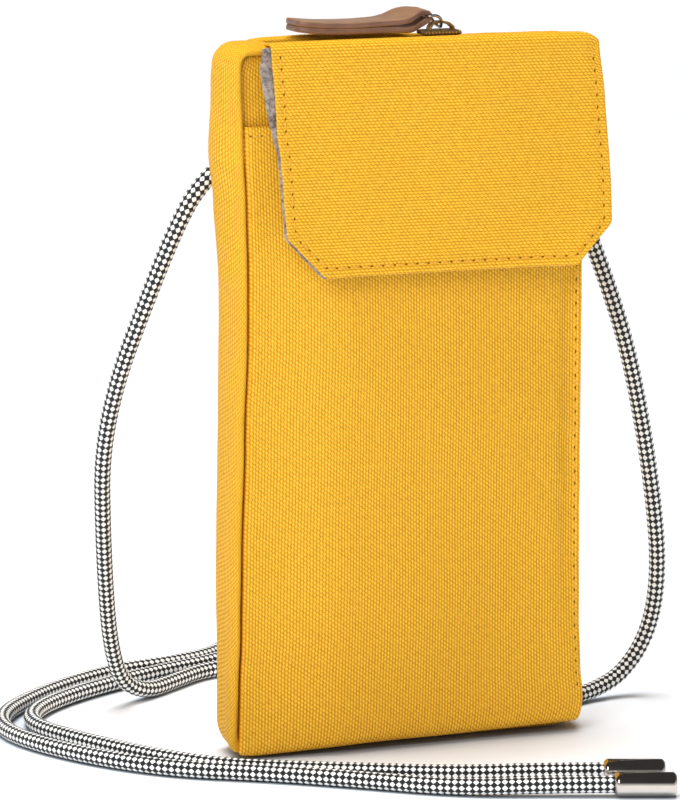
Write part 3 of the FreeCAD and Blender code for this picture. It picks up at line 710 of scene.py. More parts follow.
def band_place(u, v):
    """The side band, from the top's right end round the bottom to the top's left end, front seam first."""
    depth, inset = along_line(BAND_PROFILE, v) * MM
    run = 2 * u if u < 0.5 else 2 * (1 - u)
    back = ease((depth - FRONT) / (BACK - FRONT))
    x, z = band_path(run, inset, mix(FRONT_BASE_R, BACK_BASE_R, back))
    z -= END_TURN * (1 - roll(run * BAND_HALF_L, END_TURN_L)) * ease((END_TURN_BACK - depth) / END_TURN_L)
    if u < 0.5:
        x = -x * (1 - RIGHT_TUCK / HALF_W * ease(depth / FRONT))
        high = ease((z - TOP + RIGHT_SAG_TALL) / RIGHT_SAG_TALL)
        z -= RIGHT_SAG * high * ease((depth - RIGHT_SAG_FROM) / RIGHT_SAG_TALL)
    under = ease((HALF_W - UNDER_IN - abs(x)) / UNDER_IN_L) * ease((UNDER_Z - z) / UNDER_Z_L)
    depth = mix(depth, max(depth, BASE_TUCK), under)
    z += (pocket_base(x) + BASE_LIFT) * under * ease((BASE_REST - depth) / (BASE_REST - BASE_TUCK))
    face = bell(depth, SIDE_REACH)
    x += math.copysign(ripple(depth, z, *SIDE_RIPPLE) * face * ease(z / SIDE_START), x)
    gather = bell(z - GATHER_Z, GATHER_TALL) * bell(depth, GATHER_WIDE) * (abs(x) > HALF_W - BACK_BASE_R)
    x -= math.copysign(gather * GATHER_DEPTH * math.sin((z + depth) / GATHER_WAVE), x)
    return settle(Vector((x, depth, z))), (v * (BACK - FRONT + BAND_SEAMS), u * 2 * BAND_HALF_L)


class POUCH_OT_side_band(Operator):
    """Sews the canvas strip round the sides, the bottom and the top's corners"""
    bl_idname = "pouch.side_band"
    bl_label = "Side band"

    def execute(self, context):
        bm = cloth(BAND_COLUMNS, len(BAND_PROFILE) - 1, band_place)
        band = piece("side_band", bm, (woven_canvas(),), "pouch", ("gusset_band",))
        thicken(band, sizes().cloth_t)
        return {"FINISHED"}


# The flat walls: the back and the inner front that shows above the pocket

PANEL_R = 5.5 * MM
PANEL_COLUMNS = 64
PANEL_ROWS = 110
# Corners of the back wall, which fill the band's inner edge
BACK_TOP_R = 1.2 * MM
BACK_LOW_R = 4.0 * MM
# The inner front: its crown, the edge that the crown rises over, and where it starts above the pocket
INNER_CROWN = 0.3 * MM
INNER_EDGE = 5 * MM
INNER_START = 12 * MM
INNER_RIPPLE = (25 * MM, 0.3 * MM)
# The back: how far it reaches past its node, how far its seam draws in, and its crown
BACK_SPREAD = 0.3 * MM
BACK_SEAM = 1.8 * MM
BACK_SEAM_R = 3 * MM
BACK_CROWN = 0.9 * MM
BACK_CROWN_R = 40 * MM
BACK_RIPPLE = (35 * MM, 0.5 * MM)
# Over this distance from its edge the back's unevenness starts, and this far from the sleeve it lies flat
BACK_CALM = 10 * MM
SLEEVE_CALM = 12 * MM


def inner_place(u, v):
    """The inner front wall, a little proud above the pocket's hem."""
    half = INNER_HIGH.x - MM
    x = mix(-half, half, u)
    z = mix(INNER_LOW.z + MM, INNER_HIGH.z, v)
    flat = (x, z)
    edge = min(half - abs(x), INNER_HIGH.z - z)
    above = ease((z - POCKET_HIGH.z + INNER_START) / INNER_START)
    y = INNER_LOW.y - INNER_CROWN * roll(edge - MM, INNER_EDGE) * above + ripple(x, z, *INNER_RIPPLE)
    x, z = round_corner(x, z, half, INNER_HIGH.z, PANEL_R, 1)
    x, z = round_corner(x, z, half, INNER_LOW.z + MM, PANEL_R, -1)
    return settle(Vector((x, y, z))), flat


def back_place(u, v):
    """The back wall, drawn in at its seam."""
    half = BACK_HIGH.x + BACK_SPREAD
    low, top = BACK_LOW.z - BACK_SPREAD, BACK_HIGH.z + BACK_SPREAD
    x = mix(half, -half, u)
    z = mix(low, top, v)
    flat = (x, z)
    edge = min(half - abs(x), top - z, z - low)
    y = BACK_HIGH.y - BACK_SEAM * (1 - roll(edge, BACK_SEAM_R)) + BACK_CROWN * roll(edge, BACK_CROWN_R)
    inside = roll(edge, BACK_CALM)
    y += ripple(x, z, *BACK_RIPPLE) * inside
    y = mix(y, BACK_HIGH.y, bell(z - (TUNNEL_LOW.z + TUNNEL_HIGH.z) / 2, SLEEVE_CALM) * inside)
    x, z = round_corner(x, z, half, top, BACK_TOP_R, 1)
    x, z = round_corner(x, z, half, low, BACK_LOW_R, -1)
    return settle(Vector((x, y, z))), flat


class POUCH_OT_walls(Operator):
    """Makes the back and the inner front wall"""
    bl_idname = "pouch.walls"
    bl_label = "Back and inner front"

    def execute(self, context):
        for name, place, replaced in (("inner_front", inner_place, "front_panel"),
                                      ("back_wall", back_place, "back_panel")):
            bm = cloth(PANEL_COLUMNS, PANEL_ROWS, place)
            made = piece(name, bm, (woven_canvas(),), "pouch", (replaced,))
            thicken(made, sizes().cloth_t)
        return {"FINISHED"}


# The front slip pocket with its folded hem

HEM_R = 0.9 * MM
HEM_TURN = 9 * MM
POCKET_FACE_SHARE = 0.82
POCKET_FOLD_SHARE = 0.88
POCKET_COLUMNS = 110
POCKET_ROWS = 130
POCKET_BASE_R = 1.6 * MM
POCKET_LIP = POCKET_HIGH.y - FRONT
# One layer of the pocket and of the zip's strips as a share of the canvas's thickness
THIN_SHARE = 0.8
# The left edge's gap to the band's lip, how far it turns in and over which width
SEAM_GAP = 0.4 * MM
SEAM_TURN = 1.5 * MM
SEAM_TURN_R = 0.9 * MM
# Rounding of the pocket's left, right and lower edges
LIP_LEFT_R = 1.6 * MM
LIP_RIGHT_R = 1.2 * MM
LIP_LOW_R = 3 * MM
# How far in from each edge the pocket's crown takes to rise, and its share at the right lip and the base
POCKET_ROLL_LEFT = 30 * MM
POCKET_ROLL_RIGHT = 62 * MM
POCKET_ROLL_BASE = 13 * MM
POCKET_RIGHT_SHARE = 0.35
POCKET_BASE_SHARE = 0.6
POCKET_BASE_TALL = 50 * MM
# Height of the crown: share of the pocket's height, millimetres
POCKET_CROWN = ((0.0, 5.5), (0.6, 5.5), (1.0, 3.3))
# Unevenness of the face, wide and fine: grain and depth, and how far in from the edges it starts
POCKET_WAVES = (46 * MM, 1.0 * MM)
POCKET_WRINKLES = (15 * MM, 0.25 * MM)
POCKET_CALM = 12 * MM
# Slanting puckers beside the right lip: depth, wave and slope, place and reach from the lip and up the face
PUCKER_DEPTH = 0.22 * MM
PUCKER_WAVE = 2.6 * MM
PUCKER_SLOPE = 0.45
PUCKER_IN = 7 * MM
PUCKER_IN_REACH = 9 * MM
PUCKER_UP = 70 * MM
PUCKER_UP_REACH = 24 * MM
# The hollow that the pocket's face falls into beside its stitched right lip, and where it starts from below
LIP_FALL = 1.3 * MM
LIP_FALL_AT = 4.2 * MM
LIP_FALL_REACH = 2.8 * MM
LIP_FALL_FROM = 20 * MM
LIP_FALL_TALL = 40 * MM
# How deep and how wide the rows of stitches draw the cloth in
LIP_DRAW = 0.35 * MM
HEM_DRAW = 0.3 * MM
DRAW_REACH = 0.7 * MM
# Where the rows of stitches start: the right seam's above the base, the hem's in from the left
LIP_ROW_FOOT = 8 * MM
HEM_ROW_START = 1.5 * MM


def pocket_front(x, z):
    """How far forward the pocket stands at a place on its face."""
    size = sizes()
    half, top = POCKET_HIGH.x, POCKET_HIGH.z
    left, right = half - SEAM_GAP + x, half - x
    rise = z - pocket_base(x)
    lip = POCKET_LIP * min(roll(left, LIP_LEFT_R), roll(right, LIP_RIGHT_R), roll(rise, LIP_LOW_R))
    crown = through(POCKET_CROWN, z / top) * MM
    side = ease(left / POCKET_ROLL_LEFT) * mix(POCKET_RIGHT_SHARE, 1.0, ease(right / POCKET_ROLL_RIGHT))
    side *= roll(right, LIP_RIGHT_R) * roll(rise, POCKET_ROLL_BASE)
    side *= mix(POCKET_BASE_SHARE, 1.0, ease(rise / POCKET_BASE_TALL))
    y = POCKET_HIGH.y - lip - crown * side + SEAM_TURN * (1 - roll(left, SEAM_TURN_R))
    inside = roll(min(left, right, rise), POCKET_CALM)
    y += (ripple(x, z, *POCKET_WAVES) + ripple(x + 1, z, *POCKET_WRINKLES)) * inside
    pucker = math.sin((x * PUCKER_SLOPE + z) / PUCKER_WAVE)
    pucker *= bell(right - PUCKER_IN, PUCKER_IN_REACH) * bell(z - PUCKER_UP, PUCKER_UP_REACH)
    y += PUCKER_DEPTH * pucker
    fall = bell(right - LIP_FALL_AT, LIP_FALL_REACH) * ease((z - LIP_FALL_FROM) / LIP_FALL_TALL)
    y += LIP_FALL * fall
    y += LIP_DRAW * bell(right - size.lip_margin, DRAW_REACH)
    y += HEM_DRAW * bell(z - top + size.hem_depth, DRAW_REACH)
    return y


def pocket_place(u, v):
    """The pocket from its base seam up its face, over the hem's fold and down inside."""
    half, top = POCKET_HIGH.x, POCKET_HIGH.z
    x = mix(-half, half, u) + SEAM_GAP * (1 - u)
    low = pocket_base(x)
    if v <= POCKET_FACE_SHARE:
        z = mix(low, top - HEM_R, v / POCKET_FACE_SHARE)
        run, back = z, 0.0
    elif v <= POCKET_FOLD_SHARE:
        turn = math.pi * (v - POCKET_FACE_SHARE) / (POCKET_FOLD_SHARE - POCKET_FACE_SHARE)
        z = top - HEM_R + HEM_R * math.sin(turn)
        run, back = top - HEM_R + HEM_R * turn, HEM_R * (1 - math.cos(turn))
    else:
        turned = HEM_TURN * (v - POCKET_FOLD_SHARE) / (1 - POCKET_FOLD_SHARE)
        z = top - HEM_R - turned
        run, back = top + HEM_R * (math.pi - 1) + turned, 2 * HEM_R
    y = pocket_front(x, z) + back
    flat = (x, run)
    x, z = round_corner(x, z, half, low, POCKET_BASE_R, -1)
    return settle(Vector((x, y, z))), flat


class POUCH_OT_pocket(Operator):
    """Sews the front slip pocket with its folded hem and its stitched right seam"""
    bl_idname = "pouch.pocket"
    bl_label = "Front pocket"

    def execute(self, context):
        size = sizes()
        bm = cloth(POCKET_COLUMNS, POCKET_ROWS, pocket_place)
        pocket = piece("front_pocket", bm, (woven_canvas(),), "pouch", ("pocket_panel",))
        thicken(pocket, size.cloth_t * THIN_SHARE)
        width, height = 2 * POCKET_HIGH.x, POCKET_HIGH.z - HEM_R - POCKET_LOW.z
        hem = (height + HEM_R - size.hem_depth) / height * POCKET_FACE_SHARE
        lip = 1 - size.lip_margin / width
        foot = LIP_ROW_FOOT / height * POCKET_FACE_SHARE
        start = HEM_ROW_START / width
        stitches("pocket_stitches", "pouch", (
            (pocket_place, ((start, hem), (lip, hem))), (pocket_place, ((lip, hem), (lip, foot)))))
        return {"FINISHED"}


# The lining bag inside the zipped compartment

LINING_ROOM = 1.6 * MM
LINING_T = 0.3 * MM
LINING_GRID = (40, 120)
LINING_YARN = 0.5 * MM


class POUCH_OT_lining(Operator):
    """Makes the lining bag"""
    bl_idname = "pouch.lining"
    bl_label = "Lining"

    def execute(self, context):
        low = LINING_LOW + Vector((LINING_ROOM, LINING_ROOM / 4, LINING_ROOM))
        high = LINING_HIGH - Vector((LINING_ROOM, LINING_ROOM / 4, 0.0))
        half, depth, tall = high.x, high.y - low.y, high.z - low.z

        def lining_place(u, v):
            """One strip of the bag: down the front, under and up the back."""
            walk = mix(0.0, 2 * tall + depth, v)
            x = mix(-half, half, u)
            if walk < tall:
                y, z = low.y, high.z - walk
            elif walk < tall + depth:
                y, z = low.y + walk - tall, low.z
            else:
                y, z = high.y, low.z + walk - tall - depth
            y += (low.y + high.y - 2 * y) / 2 * (1 - roll(half - abs(x), depth))
            return settle(Vector((x, y, z))), (x, walk)

        bm = cloth(*LINING_GRID, lining_place)
        material = plain_cloth("lining_cloth", colours().lining, LINING_YARN)
        bag = piece("lining_bag", bm, (material,), "pouch", ("main_lining",))
        thicken(bag, LINING_T)
        return {"FINISHED"}


# The zip: canvas strips, woven tapes, metal teeth and stops

# Across each strip in millimetres: depth and height, front lip to zip edge, and zip edge to back
FRONT_STRIP_PROFILE = (
    (-7.4, 192.9), (-8.8, 193.05), (-9.6, 193.45), (-9.9, 194.0), (-9.6, 194.6), (-8.7, 195.0),
    (-7.4, 195.2), (-6.2, 195.2), (-5.5, 195.1), (-5.3, 194.9), (-5.4, 194.6),
)
REAR_STRIP_PROFILE = (
    (2.4, 194.8), (2.3, 195.3), (2.5, 195.8), (3.2, 196.0), (4.6, 196.0), (6.2, 195.8), (7.7, 195.1),
    (8.9, 193.9), (9.6, 192.5), (9.9, 191.3), (9.6, 190.8), (8.4, 190.6),
)
# How far the rear strip's crown stands above its profile: place along the zip and height in millimetres
REAR_CROWN_SET = (
    (-44.0, 0.2), (-37.0, 0.7), (-26.0, 1.0), (-6.0, 0.8), (8.0, 0.0), (22.0, -0.8), (44.0, -1.0),
)
REAR_CROWN_AT = 5.4 * MM
REAR_CROWN_REACH = 2.6 * MM
STRIP_COLUMNS = 90
STRIP_TUCK = 0.6 * MM
STRIP_RIPPLE = (12 * MM, 0.15 * MM)
# Where each strip's row of stitches runs across its profile, and where any row along a strip starts and ends
FRONT_ROW_SHARE = 0.74
REAR_ROW_SHARE = 0.56
ROW_ENDS = (0.02, 0.98)
TAPE_GRID = (60, 6)
TAPE_T = 0.6 * MM
TAPE_YARN = 0.6 * MM


def strip_place(profile):
    """A canvas strip beside the zip, along a profile."""
    half = STRIP_HIGH.x + STRIP_TUCK

    def place(u, v):
        x = mix(-half, half, u)
        y, z = along_line(profile, v) * MM
        z += ripple(x, y, *STRIP_RIPPLE)
        z += through(REAR_CROWN_SET, x / MM) * MM * bell(y - REAR_CROWN_AT, REAR_CROWN_REACH)
        return Vector((x, y, z)), (v * len(profile) * MM, x)

    return place


def tape_place(low, high):
    """A woven zip tape, flat along the zip."""
    def place(u, v):
        x, y = mix(low.x, high.x, u), mix(low.y, high.y, v)
        return Vector((x, y, high.z - TAPE_T / 4)), (x, y)

    return place


class POUCH_OT_zip(Operator):
    """Makes the zip's strips with their stitches and its tapes, and gives its teeth and stops their brass"""
    bl_idname = "pouch.zip"
    bl_label = "Zip"

    def execute(self, context):
        rows = []
        for name, profile, replaced, row in (
                ("front_strip", FRONT_STRIP_PROFILE, "zip_strip_front", FRONT_ROW_SHARE),
                ("rear_strip", REAR_STRIP_PROFILE, "zip_strip_back", REAR_ROW_SHARE)):
            place = strip_place(profile)
            bm = cloth(STRIP_COLUMNS, len(profile) - 1, place)
            made = piece(name, bm, (woven_canvas(),), "pouch", (replaced,))
            thicken(made, sizes().cloth_t * THIN_SHARE)
            rows.append((place, [(end, row) for end in ROW_ENDS]))
        stitches("zip_stitches", "pouch", rows)
        tape = plain_cloth("zip_tape_weave", colours().zip_tape, TAPE_YARN)
        for name, replaced in (("front_tape", "zip_tape_front"), ("rear_tape", "zip_tape_back")):
            bm = cloth(*TAPE_GRID, tape_place(*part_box(replaced)))
            made = piece(name, bm, (tape,), "pouch", (replaced,))
            thicken(made, TAPE_T)
        for name in ("zip_teeth_front", "zip_teeth_back", "zip_stops"):
            paint(name, antique_brass())
        return {"FINISHED"}


def paint(name, material):
    """Gives a frame node its material."""
    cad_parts[name].data.materials.clear()
    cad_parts[name].data.materials.append(material)


# The slider: two plates on a post with beaded edges, and a bridge bent over the top

PLATE_ROUND = 0.35 * MM
PLATE_SHARP = math.radians(50)
PLATE_TOP = (196.0 * MM, 197.5 * MM)
PLATE_BASE = (191.9 * MM, 193.0 * MM)
# Two corners of the post, along and across the zip
POST = ((12.6 * MM, -2.3 * MM), (14.4 * MM, -0.7 * MM))
BEAD_R = 0.58 * MM
BEAD_COUNT = 11
BRIDGE_HALF = 1.3 * MM
BRIDGE_T = 0.75 * MM
BRIDGE_GRID = (28, 6)
# Along the bridge in millimetres: along the zip and height
BRIDGE_LINE = (
    (7.4, 197.2), (7.5, 198.2), (8.3, 199.2), (9.8, 199.55), (11.4, 199.5), (13.0, 199.1), (14.2, 198.2),
    (14.5, 197.1),
)


def slab(bm, low, high):
    """A plate with rounded edges between two corners."""
    low, high = Vector(low), Vector(high)
    place = Matrix.Translation((low + high) / 2) @ Matrix.Diagonal((*(high - low), 1))
    made = bmesh.ops.create_cube(bm, size=1.0, matrix=place)
    edges = list({e for v in made["verts"] for e in v.link_edges})
    bmesh.ops.bevel(bm, geom=edges, offset=PLATE_ROUND, offset_type="OFFSET", segments=3, profile=0.5,
                    affect="EDGES", material=-1)


def bridge_place(u, v):
    """The bent strip over the slider that holds the wire loop."""
    x, z = along_line(BRIDGE_LINE, u) * MM
    y = (SLIDER_LOW.y + SLIDER_HIGH.y) / 2 + mix(-BRIDGE_HALF, BRIDGE_HALF, v)
    return Vector((x, y, z)), (u, v)


class POUCH_OT_slider(Operator):
    """Makes the zip's slider"""
    bl_idname = "pouch.slider"
    bl_label = "Zip slider"

    def execute(self, context):
        low, high = SLIDER_LOW, SLIDER_HIGH
        bm = bmesh.new()
        for base, top in (PLATE_TOP, PLATE_BASE):
            slab(bm, (low.x + BEAD_R, low.y + BEAD_R, base), (high.x - BEAD_R, high.y - BEAD_R, top))
        slab(bm, (*POST[0], PLATE_BASE[1] - PLATE_ROUND), (*POST[1], PLATE_TOP[0] + PLATE_ROUND))
        for y in (low.y + BEAD_R, high.y - BEAD_R):
            for i in range(BEAD_COUNT):
                x = mix(low.x + BEAD_R, high.x - BEAD_R, i / (BEAD_COUNT - 1))
                bmesh.ops.create_uvsphere(bm, u_segments=10, v_segments=6, radius=BEAD_R,
                                          matrix=Matrix.Translation((x, y, sum(PLATE_TOP) / 2)))
        made = piece("slider", bm, (antique_brass(),), "slider", ("zip_slider",))
        made.data.set_sharp_from_angle(angle=PLATE_SHARP)
        bm = cloth(*BRIDGE_GRID, bridge_place)
        bridge = piece("slider_bridge", bm, (antique_brass(),), "slider")
        thicken(bridge, BRIDGE_T, 1, 0.0)
        return {"FINISHED"}


# The pull: a wire loop and a strip of leather folded over it

# Round the wire loop in millimetres, from the middle of the bar inside the leather
LOOP_ROUTE = (
    (5.36, -1.5, 201.4), (5.3, -4.6, 201.4), (5.7, -6.1, 201.6), (7.7, -6.1, 201.8), (9.4, -5.6, 200.8),
    (10.1, -3.9, 198.95), (10.5, -2.6, 198.3), (10.5, -1.5, 198.3), (10.5, -0.4, 198.3), (10.1, 0.9, 198.95),
    (9.4, 2.6, 200.8), (7.7, 3.1, 201.8), (5.7, 3.1, 201.6), (5.3, 1.6, 201.4), (5.36, -1.5, 201.4),
)
LOOP_R = 0.42 * MM
LOOP_STEP = 0.25 * MM
LOOP_SIDES = 14
# Along the folded strip in millimetres: along the zip and height, lower tip round the wire to upper tip
PULL_LINE = (
    (-32.8, 199.4), (-29.0, 198.9), (-24.0, 198.5), (-18.0, 198.35), (-12.0, 198.35), (-7.0, 198.45),
    (-3.5, 198.6), (-0.5, 198.85), (2.2, 199.2), (4.6, 199.7), (6.2, 200.35), (6.9, 201.3), (6.2, 202.25),
    (4.6, 202.65), (2.2, 202.4), (-0.5, 201.6), (-3.5, 200.75), (-7.0, 200.3), (-12.0, 200.05),
    (-18.0, 200.0), (-24.0, 200.15), (-29.0, 200.6), (-32.8, 201.1),
)
PULL_NECK = 2.7 * MM
PULL_HALF = 6.3 * MM
PULL_FOLD_AT = 7.1 * MM
PULL_TAPER_AT = 1.5 * MM
PULL_TAPER_L = 6.5 * MM
# How far the tips draw in and over which length, and how far the strip tilts near its neck
PULL_TIP = 2.6 * MM
PULL_TIP_L = 4 * MM
PULL_TILT = 0.8 * MM
PULL_TILT_REACH = 4 * MM
PULL_FLAT_L = 84 * MM
PULL_COLUMNS = 120
PULL_ROWS = 14
PULL_Y = (PULL_LOW.y + PULL_HIGH.y) / 2


def pull_place(u, v):
    """The leather strip, narrow where it goes round the wire and rounded at its tips."""
    x, z = along_line(PULL_LINE, u) * MM
    away = PULL_FOLD_AT - x
    half = mix(PULL_NECK, PULL_HALF, ease((away - PULL_TAPER_AT) / PULL_TAPER_L))
    tip = x - PULL_LINE[0][0] * MM
    half -= PULL_TIP * (1 - roll(tip, PULL_TIP_L))
    across = mix(-half, half, v)
    z += PULL_TILT * bell(x, PULL_TILT_REACH) * across / half
    return Vector((x, PULL_Y + across, z)), (across, u * PULL_FLAT_L)


class POUCH_OT_pull(Operator):
    """Makes the zip's wire loop and its leather pull"""
    bl_idname = "pouch.pull"
    bl_label = "Zip pull"

    def execute(self, context):
        line, _ = even_steps(cord_line(LOOP_ROUTE), LOOP_STEP)
        bm = tube(line, LOOP_SIDES, lambda share, along: LOOP_R)
        piece("wire_loop", bm, (gunmetal_wire(),), "ring", ("pull_ring",))
        bm = cloth(PULL_COLUMNS, PULL_ROWS, pull_place)
        tint = colours()
        skin = [pull_leather(name, getattr(tint, name)) for name in ("leather_face", "leather_edge")]
        strap = piece("leather_pull", bm, skin, "strap", ("pull_strap",))
        thicken(strap, sizes().leather_t, 1, 0.0)
        strap.modifiers["Thickness"].material_offset_rim = 1
        return {"FINISHED"}


# The flap: canvas that comes off the top, folds over the front edge and hangs, with felt inside

FLAP_SLANT = math.radians(8)
FOLD_R = 2.6 * MM
FOLD_Y = FRONT - 0.4 * MM
FOLD_Z = FLAP_HIGH.z - 1.3 * MM - FOLD_R
# How far the root falls off behind the fold, and the share of the way back where it narrows
ROOT_FALL = 0.5 * MM
ROOT_FROM = 1 / 6
# How far inside its node the flap's right edge lies
FLAP_RIGHT_IN = 0.6 * MM
FOLD_TURN = math.pi / 2 - FLAP_SLANT
FOLD_L = FOLD_R * FOLD_TURN
ROOT_L = 5.2 * MM
FLAP_CHAMFER = 11 * MM
FLAP_DROP = (FOLD_Z + FOLD_R * math.sin(FLAP_SLANT) - FLAP_LOW.z) / math.cos(FLAP_SLANT)
# How far the flap's left and right edges stand to the right of straight: share of its drop, millimetres
FLAP_LEFT_SET = ((0.0, -0.1), (0.35, 0.0), (0.48, 0.8), (0.6, 1.1), (0.85, 1.6), (1.0, 0.9))
FLAP_RIGHT_SET = ((0.0, 0.0), (0.25, 0.8), (0.6, 1.2), (1.0, 0.5))
FLAP_COLUMNS = 96
FLAP_ROWS = 84
# Rows of the flap's grid: up the cut corners, up the face, round the fold and back along the root
FLAP_SHARES = (0.16, 0.8, 0.92)


def flap_edges(drop):
    """Left and right edge of the flap at a drop below its fold."""
    cut = max(drop - (FLAP_DROP - FLAP_CHAMFER), 0.0)
    back = clamp(-drop / (FOLD_L + ROOT_L))
    right = mix(FLAP_HIGH.x - FLAP_RIGHT_IN, ROOT_HIGH.x, ease((back - ROOT_FROM) / (1 - ROOT_FROM)))
    down = clamp(drop / FLAP_DROP)
    left = FLAP_LOW.x + through(FLAP_LEFT_SET, down) * MM
    return left + cut, right + through(FLAP_RIGHT_SET, down) * MM - cut


def flap_line(drop, inward):
    """Depth and height of the flap at a drop below its fold, a distance inside its outer face."""
    radius = FOLD_R - inward
    if drop >= 0:
        y = FOLD_Y - radius * math.cos(FLAP_SLANT) - drop * math.sin(FLAP_SLANT)
        return y, FOLD_Z + radius * math.sin(FLAP_SLANT) - drop * math.cos(FLAP_SLANT)
    if drop > -FOLD_L:
        turn = math.pi / 2 + FOLD_TURN * (1 + drop / FOLD_L)
        return FOLD_Y + radius * math.cos(turn), FOLD_Z + radius * math.sin(turn)
    back = -drop - FOLD_L
    return FOLD_Y + back, FOLD_Z + radius - ROOT_FALL * ease(back / ROOT_L)


# How far the flap curls forward and the width it takes: at its left, right and lower edges
CURL_LEFT = (0.9 * MM, 7 * MM)
CURL_RIGHT = (1.1 * MM, 9 * MM)
CURL_LOW = (0.6 * MM, 6 * MM)
CURL_START = 12 * MM
# How far the magnet holds the flap's middle in, the width it takes, its place, and the share where it starts
HOLD = (1.0 * MM, 26 * MM)
HOLD_X = 6 * MM
HOLD_FROM = 0.3
HOLD_SHARE = 0.5
FLAP_RIPPLE = (34 * MM, 0.9 * MM)
FLAP_RIPPLE_START = 20 * MM
# How far the fold droops and the width it takes: at its left, at its right and at its rounded right corner
DROOP_LEFT = (0.1 * MM, 5 * MM)
DROOP_RIGHT = (0.2 * MM, 7 * MM)
DROOP_CORNER = (1.4 * MM, 1.5 * MM)
DROOP_SHARE = 0.25
# How deep and how wide the row of stitches draws the flap in
FLAP_DRAW = (0.3 * MM, 0.8 * MM)


def flap_point(x, drop, inward):
    """A point of the flap, with its edges curling forward and its middle held in by the magnet."""
    left, right = flap_edges(drop)
    y, z = flap_line(drop, inward)
    down = clamp(drop / FLAP_DROP)
    curl = bump(x - left, CURL_LEFT) * ease(drop / CURL_START)
    curl += bump(right - x, CURL_RIGHT) * down
    curl += bump(FLAP_DROP - drop, CURL_LOW)
    curl -= bump(x - HOLD_X, HOLD) * ease((down - HOLD_FROM) / HOLD_SHARE)
    curl += ripple(x, drop, *FLAP_RIPPLE) * ease(drop / FLAP_RIPPLE_START)
    droop = bump(x - left, DROOP_LEFT) + bump(right - x, DROOP_RIGHT) + bump(right - x, DROOP_CORNER)
    return Vector((x, y - curl * math.cos(FLAP_SLANT), z - droop * (1 - ease(down / DROOP_SHARE))))


def flap_drop(v):
    """How far below the fold a row of the flap's grid lies; above it the drop is negative."""
    cut, face, fold = FLAP_SHARES
    if v <= cut:
        return mix(FLAP_DROP, FLAP_DROP - FLAP_CHAMFER, v / cut)
    if v <= face:
        return mix(FLAP_DROP - FLAP_CHAMFER, 0.0, (v - cut) / (face - cut))
    if v <= fold:
        return mix(0.0, -FOLD_L, (v - face) / (fold - face))
    return mix(-FOLD_L, -FOLD_L - ROOT_L, (v - fold) / (1 - fold))


def flap_place(u, v):
    """The flap's canvas, from its lower edge up over the fold to its root."""
    drop = flap_drop(v)
    left, right = flap_edges(drop)
    x = mix(left, right, u)
    point = flap_point(x, drop, 0.0)
    margin = sizes().flap_margin
    if drop > 0:
        near = min(x - left, right - x, FLAP_DROP - drop)
        point.y += bump(near - margin, FLAP_DRAW)
    return point, (drop, -x)


# How far the felt stands out past the canvas's left edge: share of its drop, millimetres
FELT_SET = (
    (0.0, 2.0), (0.03, 2.5), (0.08, 3.1), (0.15, 2.8), (0.24, 2.2), (0.31, 1.6), (0.37, 0.9), (0.45, 0.4),
    (0.68, 0.3), (1.0, 0.6),
)
FELT_GRID = (60, 60)
FELT_START = -3.0 * MM
FELT_END = FLAP_DROP + 0.05 * MM
# The felt's inset at the right, and its gap behind the canvas
FELT_RIGHT_IN = 0.4 * MM
FELT_GAP = 0.1 * MM
# How far the felt's left edge turns back and the width it takes, and where down the flap it does so
FELT_TURN = (0.8 * MM, 3 * MM)
FELT_TURN_AT = 10 * MM
FELT_TURN_REACH = 12 * MM


def felt_place(u, v):
    """The flap's felt, which stands out past the canvas at its upper left."""
    drop = mix(FELT_END, FELT_START, v)
    left, right = flap_edges(drop)
    left -= through(FELT_SET, drop / FLAP_DROP) * MM
    x = mix(left, right - FELT_RIGHT_IN, u)
    point = flap_point(x, drop, sizes().cloth_t + FELT_GAP)
    point.y += bump(x - left, FELT_TURN) * bell(drop - FELT_TURN_AT, FELT_TURN_REACH)
    return point, (drop, x)


# As shares of the grid's rows: where the flap's row of stitches ends below the fold and where it turns;
# and how much wider its margin counts along the lower edge
ROW_TOP_SHARE = 0.02
ROW_TURN_SHARE = 0.012
ROW_LOW_SPREAD = 1.1


def flap_row():
    """Corners of the flap's row of stitches on its grid, from upper left round to upper right."""
    margin = sizes().flap_margin
    width = FLAP_HIGH.x - FLAP_LOW.x
    cut = FLAP_SHARES[0]
    side = margin / width
    low = margin / FLAP_CHAMFER * cut
    low_side = margin * ROW_LOW_SPREAD / (width - 2 * FLAP_CHAMFER)
    high = FLAP_SHARES[1] - ROW_TOP_SHARE
    turn = cut + ROW_TURN_SHARE
    left = ((side, high), (side, turn), (low_side, low))
    return left + tuple((1 - u, v) for u, v in reversed(left))


class POUCH_OT_flap(Operator):
    """Makes the flap's canvas, felt and stitches"""
    bl_idname = "pouch.flap"
    bl_label = "Flap"

    def execute(self, context):
        size = sizes()
        canvas = piece("flap_canvas", cloth(FLAP_COLUMNS, FLAP_ROWS, flap_place), (woven_canvas(),),
                       nodes=("flap_outer", "flap_root"))
        thicken(canvas, size.cloth_t)
        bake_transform(canvas)
        bm = cloth(*FELT_GRID, felt_place)
        felt = piece("flap_felt", bm, (pressed_felt(),), "flap", ("flap_lining",))
        thicken(felt, size.felt_t)
        stitches("flap_stitches", "flap", ((flap_place, flap_row()),))
        paint("flap_magnet", plated_steel())
        paint("pocket_magnet", plated_steel())
        return {"FINISHED"}


# The cord: its sleeve on the back, the stretch inside it and the two free stretches with their end caps

